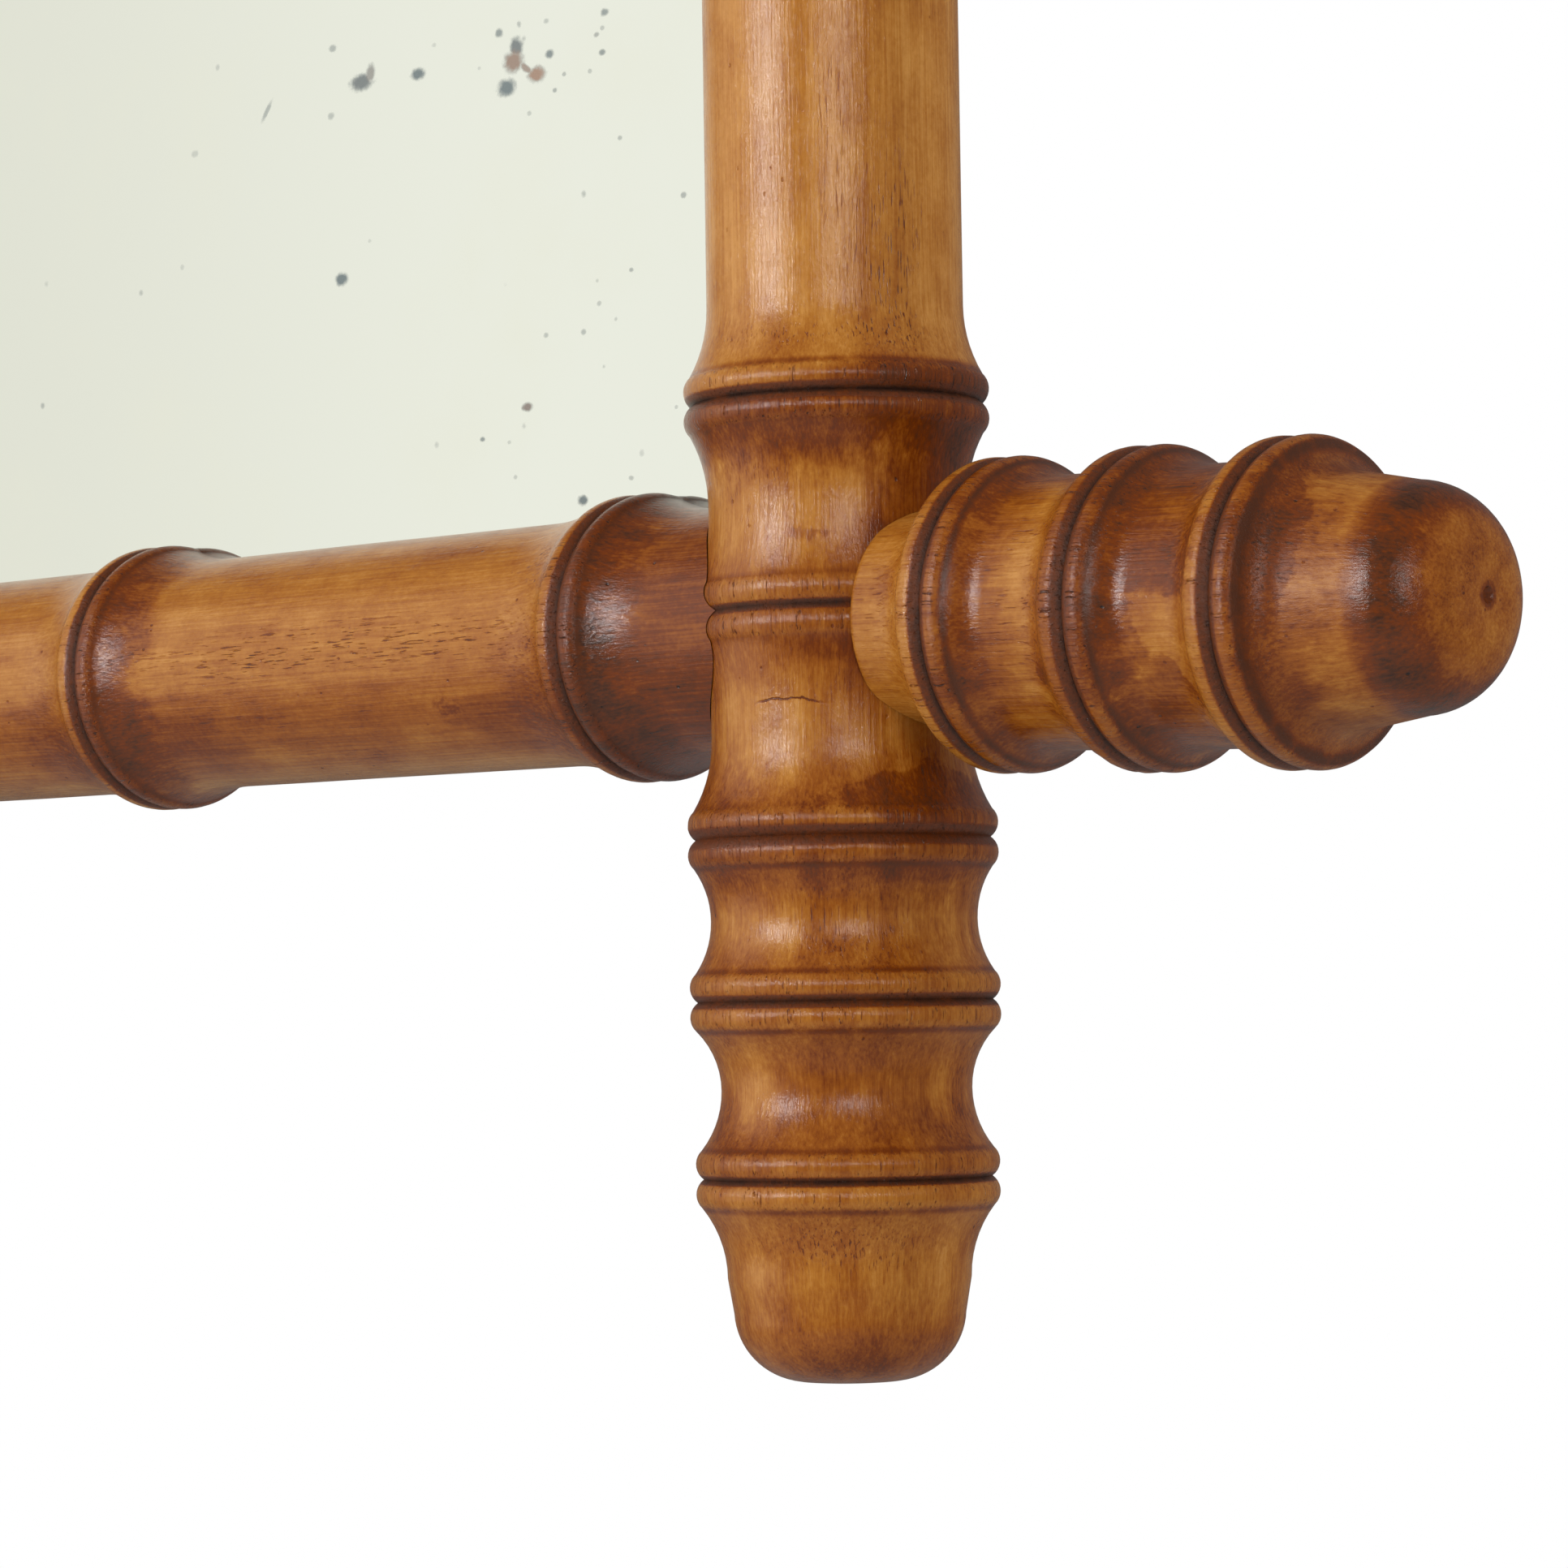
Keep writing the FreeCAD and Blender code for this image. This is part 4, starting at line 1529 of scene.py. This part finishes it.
@dataclass
class Horn(TurnedPole):
    """A short turned stub on the outer side of a stile, scribed over it.

    Attributes:
        rings_from_stile: The rings, with their distances from the stile's axis.
        waists: Radii of the waists between them.
        flare_run: Length of the hollow sweep beside a ring.
        foot: Distance of the inner end from the stile's axis.
        neck: Radius of the neck.
        foot_rounding: Radius of the rounding at the inner end.
        foot_steps: Steps over that rounding.
        neck_length: Length of the neck.
        neck_steps: Steps along the neck.
        nose: The turned end.
        side: Which stile.
        level: Which crossing.
    """

    rings_from_stile: tuple[Ring, ...] = (
        Ring(31.3, 21.0, RingLook(0.34, 0.6, 0.5, 0.2, 1.0, 0.1, 0.45)),
        Ring(55.1, 21.2, RingLook(0.34, 0.6, 0.7, 0.3, 1.0, 0.35, 0.4)),
        Ring(78.3, 21.2, RingLook(0.34, 0.6, 0.8, 0.2, 1.0, 0.15, 0.4)),
    )
    waists: tuple[float, ...] = (18.1, 18.3)
    flare_run: float = 5.2
    foot: float = 13.9
    neck: float = 14.6
    foot_rounding: float = 1.6
    foot_steps: int = 8
    neck_length: float = 4.3
    neck_steps: int = 2
    nose: Nose = Nose(27.6, 16.2, 14.7, 9.8, 4.0)
    side: Side = Side.RIGHT
    level: Level = Level.BOTTOM
    tones: Sequence[Point] = (
        (14, 0.06), (26, 0.08), (31, 0.12), (38, 0.24), (48, 0.14), (55, 0.2), (62, 0.14), (74, 0.12),
        (83, 0.16), (94.5, 0.2), (98.5, 1.4), (101.5, 1.4), (104, 0.5), (106, 0.3),
    )
    blots: Sequence[Blot] = (
        Blot(Mark.PATCH, 65, -90, 9, 160, 0.9),
        Blot(Mark.PATCH, 67, -88, 2.6, 8, -1.0),
        Blot(Mark.PATCH, 71, -78, 3.2, 10, -1.2),
        Blot(Mark.PATCH, 75, -66, 3.2, 10, -1.2),
        Blot(Mark.PATCH, 84, -112, 4, 46, 0.65),
        Blot(Mark.TONE, 90, -45, 8, 30, 0.1),
        Blot(Mark.TONE, 31, -113, 2, 9, 0.5),
        Blot(Mark.TONE, 98.5, -150, 2.5, 16, 0.4),
        Blot(Mark.PATCH, 31, -113, 1.4, 6, 1.1),
        Blot(Mark.PATCH, 49, -62, 1.2, 5, 0.9),
        Blot(Mark.TONE, 46, -110, 4, 40, -0.38),
        Blot(Mark.DULL, 90, -90, 6, 400, 1.0),
        Blot(Mark.PORES, 22, -90, 6, 60, 0.4),
        Blot(Mark.PORES, 46, -90, 6, 50, 0.5),
    )

    def __post_init__(self) -> None:
        """Takes over the rings."""
        self.rings = list(self.rings_from_stile)

    def section(self) -> LathePen:
        """Draws the half section.

        Returns:
            The pen with the finished section.
        """
        pen = LathePen((self.foot, 0), self.flare_run)
        inner = self.neck - self.foot_rounding
        rounded = self.foot + self.foot_rounding
        pen.line((self.foot, inner), pen.FLAT_STEPS)
        pen.arc((rounded, inner), (rounded, self.neck), self.foot_steps)
        pen.line((self.foot + self.neck_length, self.neck), self.neck_steps)
        pen.flare(self.rings[0].low)
        pen.bamboo(self.rings, self.waists)
        pen.nose(self.nose, self.rings[-1], 1)
        return pen

    def cutters(self) -> list[bpy.types.Object]:
        """The stile that the horn is scribed to."""
        return [crossing_block(self.side, self.level)]


def new_object(name: str, mesh: bmesh.types.BMesh) -> bpy.types.Object:
    """Links a new object.

    Args:
        name: Name of the object and its mesh.
        mesh: Its shape, which is freed.

    Returns:
        The object.
    """
    data = bpy.data.meshes.new(name)
    mesh.to_mesh(data)
    mesh.free()
    made = bpy.data.objects.new(name, data)
    bpy.context.scene.collection.objects.link(made)
    return made


def planed(mesh: bmesh.types.BMesh) -> None:
    """Planes a mesh flat at the wall plane and closes the cut.

    Args:
        mesh: The mesh, in place.
    """
    everything = [*mesh.verts, *mesh.edges, *mesh.faces]
    bmesh.ops.bisect_plane(
        mesh, geom=everything, dist=1e-7, plane_co=(0, 0, 0), plane_no=(0, 1, 0), clear_outer=True
    )
    rim = [edge for edge in mesh.edges if edge.is_boundary]
    bmesh.ops.holes_fill(mesh, edges=rim, sides=0)
    bmesh.ops.recalc_face_normals(mesh, faces=mesh.faces)


def cut_away(piece: bpy.types.Object, cutters: Sequence[bpy.types.Object]) -> None:
    """Cuts solids out of a piece and removes them.

    Args:
        piece: The object to cut.
        cutters: Closed solids.
    """
    for cutter in cutters:
        modifier = piece.modifiers.new("cut", "BOOLEAN")
        modifier.operation = "DIFFERENCE"
        modifier.solver = "MANIFOLD"
        modifier.object = cutter
    depsgraph = bpy.context.evaluated_depsgraph_get()
    cut = bpy.data.meshes.new_from_object(piece.evaluated_get(depsgraph))
    piece.modifiers.clear()
    piece.data = cut
    for cutter in cutters:
        bpy.data.objects.remove(cutter)


def rabbet_block() -> bpy.types.Object:
    """Makes the space that the glazing rabbet opens behind the poles.

    Returns:
        A closed solid.
    """
    reach = LAYOUT.stile_x - LAYOUT.rabbet_land
    low = Vector((-reach, LAYOUT.glass_y, LAYOUT.rabbet_land)) * MM
    high = Vector((reach, LAYOUT.cut_past, LAYOUT.rail_span - LAYOUT.rabbet_land)) * MM
    mesh = bmesh.new()
    size = high - low
    place = Matrix.Translation((low + high) / 2) @ Matrix.Diagonal((*size, 1))
    bmesh.ops.create_cube(mesh, size=1, matrix=place)
    return new_object("rabbet_block", mesh)


def crossing_block(side: Side, level: Level) -> bpy.types.Object:
    """Makes the stretch of a stile that other poles are scribed to, a little enlarged.

    Args:
        side: The stile's side.
        level: Which crossing.

    Returns:
        A closed solid.
    """
    gap = LAYOUT.scribe_gap
    stile = Stile("crossing", Matrix.Identity(4), 0)
    grown = [replace(ring, crest=ring.crest + gap) for ring in stile.rings[2:5]]
    pen = LathePen((grown[0].low[0], 0), stile.flare_run)
    pen.line(grown[0].low)
    pen.bamboo(grown, [stile.crossing + gap] * 2)
    pen.line((grown[-1].high[0], 0))
    mesh = pen.spun(CUTTER_SEGMENTS)
    place = Matrix.Translation(Vector((side.value * LAYOUT.stile_x, LAYOUT.axis_y, 0)) * MM)
    if level is Level.TOP:
        flip = Matrix.Rotation(math.pi, 4, "Y")
        place = Matrix.Translation(Vector((0, 0, LAYOUT.rail_span)) * MM) @ place @ flip
    mesh.transform(place)
    return new_object("crossing_block", mesh)


@dataclass
class Frame:
    """The whole frame of poles.

    Attributes:
        splay: Angle by which the horns lean out of the level, in degrees.
        crack: The crack in the right stile.
        left_turn: Turn of the left stile's blots round its axis, in degrees.
        finish: Finish of all poles.
    """

    splay: float = 1.75
    crack: Crack = Crack(-12.0, -72, 18, 0.9)
    left_turn: float = 75
    finish: StainedPole = StainedPole()

    def build(self) -> None:
        """Makes all poles."""
        material = self.finish.material()
        seeds = itertools.count(1)
        for side in Side:
            place = Matrix.Translation(Vector((side.value * LAYOUT.stile_x, LAYOUT.axis_y, 0)) * MM)
            name = "stile_" + side.name.lower()
            crack = self.crack if side is Side.RIGHT else None
            turn = 0 if side is Side.RIGHT else self.left_turn
            Stile(name, place, next(seeds), crack=crack, turn=turn).build(material)
        for level in Level:
            z = LAYOUT.rail_span if level is Level.TOP else 0
            place = Matrix.Translation(Vector((0, LAYOUT.axis_y, z)) * MM) @ Matrix.Rotation(math.pi / 2, 4, "Y")
            Rail("rail_" + level.name.lower(), place, next(seeds), level=level).build(material)
        for level, side in itertools.product(Level, Side):
            name = "_".join(("horn", level.name.lower(), side.name.lower()))
            Horn(name, self.horn_place(level, side), next(seeds), side=side, level=level).build(material)

    def horn_place(self, level: Level, side: Side) -> Matrix:
        """Where a horn's own axes lie.

        Args:
            level: Bottom or top.
            side: Left or right.

        Returns:
            The matrix from the horn's axes to the row frame.
        """
        z = LAYOUT.rail_span if level is Level.TOP else 0
        turn = math.radians(90 - level.value * self.splay) * side.value
        origin = Vector((side.value * LAYOUT.stile_x, LAYOUT.axis_y, z)) * MM
        return Matrix.Translation(origin) @ Matrix.Rotation(turn, 4, "Y")


@dataclass
class Dressing:
    """Finishes of the CAD nodes that stay as they are.

    Attributes:
        finishes: Each finish with the nodes that it goes on.
    """

    finishes: tuple[tuple[Finish, tuple[str, ...]], ...] = (
        (OldMirror(), ("mirror_glass",)),
        (
            PlainWood("back_board", (0.42, 0.27, 0.14), (0.16, 0.085, 0.04), (0.09, 0.09, 0.004)),
            ("back_board_left", "back_board_middle", "back_board_right"),
        ),
        (
            PlainWood("dowel_wood", (0.58, 0.41, 0.22), (0.36, 0.22, 0.10), (0.05, 0.4, 0.4)),
            (
                "horn_dowel_bottom_left", "horn_dowel_bottom_right", "horn_dowel_top_left",
                "horn_dowel_top_right", "glass_wedges",
            ),
        ),
        (
            OldMetal("hanger_brass", (0.66, 0.46, 0.18), (0.22, 0.13, 0.05)),
            ("hanger_strap_left", "hanger_strap_right", "hanger_ring_left", "hanger_ring_right"),
        ),
        (
            OldMetal("screw_steel", (0.42, 0.40, 0.37), (0.12, 0.09, 0.07), 0.35),
            ("hanger_screws_left", "hanger_screws_right"),
        ),
        (OldMetal("brad_steel", (0.20, 0.18, 0.17), (0.08, 0.05, 0.035), 0.45), ("back_board_brads",)),
    )

    def dress(self) -> None:
        """Gives each node its finish."""
        for finish, nodes in self.finishes:
            material = finish.material()
            for node in nodes:
                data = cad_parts[node].data
                data.materials.clear()
                data.materials.append(material)
            log.info("%s on %s", finish.name, ", ".join(nodes))


# Studio


def direction(azimuth: float, elevation: float) -> Vector:
    """A unit vector from its angles.

    Args:
        azimuth: 0 in front, positive to the viewer's right, in degrees.
        elevation: Above the level, in degrees.

    Returns:
        The direction.
    """
    az, el = math.radians(azimuth), math.radians(elevation)
    return Vector((math.sin(az) * math.cos(el), -math.cos(az) * math.cos(el), math.sin(el)))


@dataclass(frozen=True)
class Softbox:
    """A soft lamp aimed at the photographed corner.

    Attributes:
        azimuth: Direction from the corner, 0 in front, positive to the right, in degrees.
        elevation: Height above the corner, in degrees.
        distance: Distance in metres.
        wide: Width in metres.
        high: Height in metres.
        watts: Power.
    """

    azimuth: float
    elevation: float
    distance: float
    wide: float
    high: float
    watts: float

    def build(self, name: str, target: Vector) -> None:
        """Adds the lamp.

        Args:
            name: Name of the lamp.
            target: The point that it faces.
        """
        out = direction(self.azimuth, self.elevation)
        lamp = bpy.data.lights.new(name, "AREA")
        lamp.shape = "RECTANGLE"
        lamp.size = self.wide
        lamp.size_y = self.high
        lamp.energy = self.watts
        made = bpy.data.objects.new(name, lamp)
        made.location = target + out * self.distance
        made.rotation_euler = out.to_track_quat("Z", "Y").to_euler()
        bpy.context.scene.collection.objects.link(made)


@dataclass
class Studio:
    """Camera, lamps, floor and white surroundings.

    Attributes:
        lens: Focal length.
        sensor: Width of the sensor.
        clip_start: Distance in metres from which the camera sees.
        camera_place: Place of the camera.
        camera_right: The camera's direction to the right.
        camera_up: The camera's direction upwards.
        camera_back: The camera's direction backwards.
        floor_drop: Depth of the floor below the lower rail's axis, in metres.
        floor_reach: Half width of the floor, in metres.
        glow_direction: Azimuth and elevation of the bright side, in degrees.
        fill_direction: Azimuth and elevation of the fill light, in degrees.
        dim: Strength of the surroundings away from both.
        fill: Strength of the fill light.
        gloss_dim: Strength that the varnish mirrors away from the bright side.
        ambient: Strength of all surroundings as light.
        boxes: The lamps.
    """

    lens: float = 116.58
    sensor: float = 36
    clip_start: float = 0.05
    camera_place: tuple[float, float, float] = (697.357, -533.128, -52.507)
    camera_right: tuple[float, float, float] = (0.741252, 0.671055, -0.015169)
    camera_up: tuple[float, float, float] = (0.040968, -0.022674, 0.998903)
    camera_back: tuple[float, float, float] = (0.669975, -0.741060, -0.044299)
    floor_drop: float = 1.15
    floor_reach: float = 2.2
    glow_direction: tuple[float, float] = (-45, 9)
    fill_direction: tuple[float, float] = (126, 8)
    dim: float = 0.15
    fill: float = 1.1
    gloss_dim: float = 0.16
    ambient: float = 0.72
    boxes: tuple[Softbox, ...] = (
        Softbox(-18.5, 13, 2.5, 0.12, 0.80, 24),
        Softbox(46, 13, 2.5, 0.24, 0.60, 11),
    )

    def build(self) -> None:
        """Sets the stage."""
        scene = bpy.context.scene
        scene.view_settings.view_transform = "Standard"
        self.camera(scene)
        self.surroundings(scene)
        corner = Vector((LAYOUT.stile_x, LAYOUT.axis_y, 0)) * MM
        for number, softbox in enumerate(self.boxes):
            softbox.build(f"softbox_{number}", corner)
        self.floor()

    def camera(self, scene: bpy.types.Scene) -> None:
        """Puts the camera where the photograph was taken from.

        Args:
            scene: The scene that gets the camera.
        """
        data = bpy.data.cameras.new("photo_camera")
        data.lens = self.lens
        data.sensor_width = self.sensor
        data.clip_start = self.clip_start
        made = bpy.data.objects.new("photo_camera", data)
        axes = Matrix((self.camera_right, self.camera_up, self.camera_back)).transposed().to_4x4()
        made.matrix_world = Matrix.Translation(Vector(self.camera_place) * MM) @ axes
        scene.collection.objects.link(made)
        scene.camera = made

    def surroundings(self, scene: bpy.types.Scene) -> None:
        """White to the camera and in clear glass; otherwise brightest before the glass, and dim at the sides.

        Args:
            scene: The scene that gets the world.
        """
        world = bpy.data.worlds.new("white_room")
        world.use_nodes = True
        scene.world = world
        graph = Graph(world.node_tree)
        seen, glossy, clear, through = (graph.ray(kind) for kind in ("Camera", "Glossy", "Singular", "Transmission"))
        glow, fill = (
            graph.node(
                "ShaderNodeVectorMath",
                {"operation": "DOT_PRODUCT"},
                {0: graph.node("ShaderNodeTexCoord", output="Generated"), 1: direction(*angles)},
                "Value",
            )
            for angles in (self.glow_direction, self.fill_direction)
        )
        fill = fill.rising(0, 0.8) * self.fill
        lit = (self.dim + ((1 - self.dim) * glow.rising(0, 0.9)).larger(fill)) * self.ambient
        shown = self.gloss_dim + (1 - self.gloss_dim) * glow.rising(0.78, 0.91)
        first = graph.node("ShaderNodeLightPath", output="Ray Depth").falling(2.2, 2.8)
        strength = (lit + (shown - lit) * glossy).larger(seen).larger(clear * first).larger(through)
        light = graph.node("ShaderNodeBackground", None, {"Color": (1, 1, 1, 1), "Strength": strength})
        graph.node("ShaderNodeOutputWorld", None, {"Surface": light})

    def floor(self) -> None:
        """A plain pale floor well below the hanging mirror."""
        mesh = bmesh.new()
        bmesh.ops.create_grid(
            mesh, x_segments=8, y_segments=8, size=self.floor_reach,
            matrix=Matrix.Translation((0, 0, -self.floor_drop)),
        )
        made = new_object("floor", mesh)
        made.data.materials.append(PaleFloor().material())


def main() -> None:
    """Builds the mirror and its studio in order."""
    logging.basicConfig(level=logging.INFO, format="%(asctime)s %(name)s: %(message)s")
    Frame().build()
    Dressing().dress()
    Studio().build()


if __name__ == "__main__":
    main()
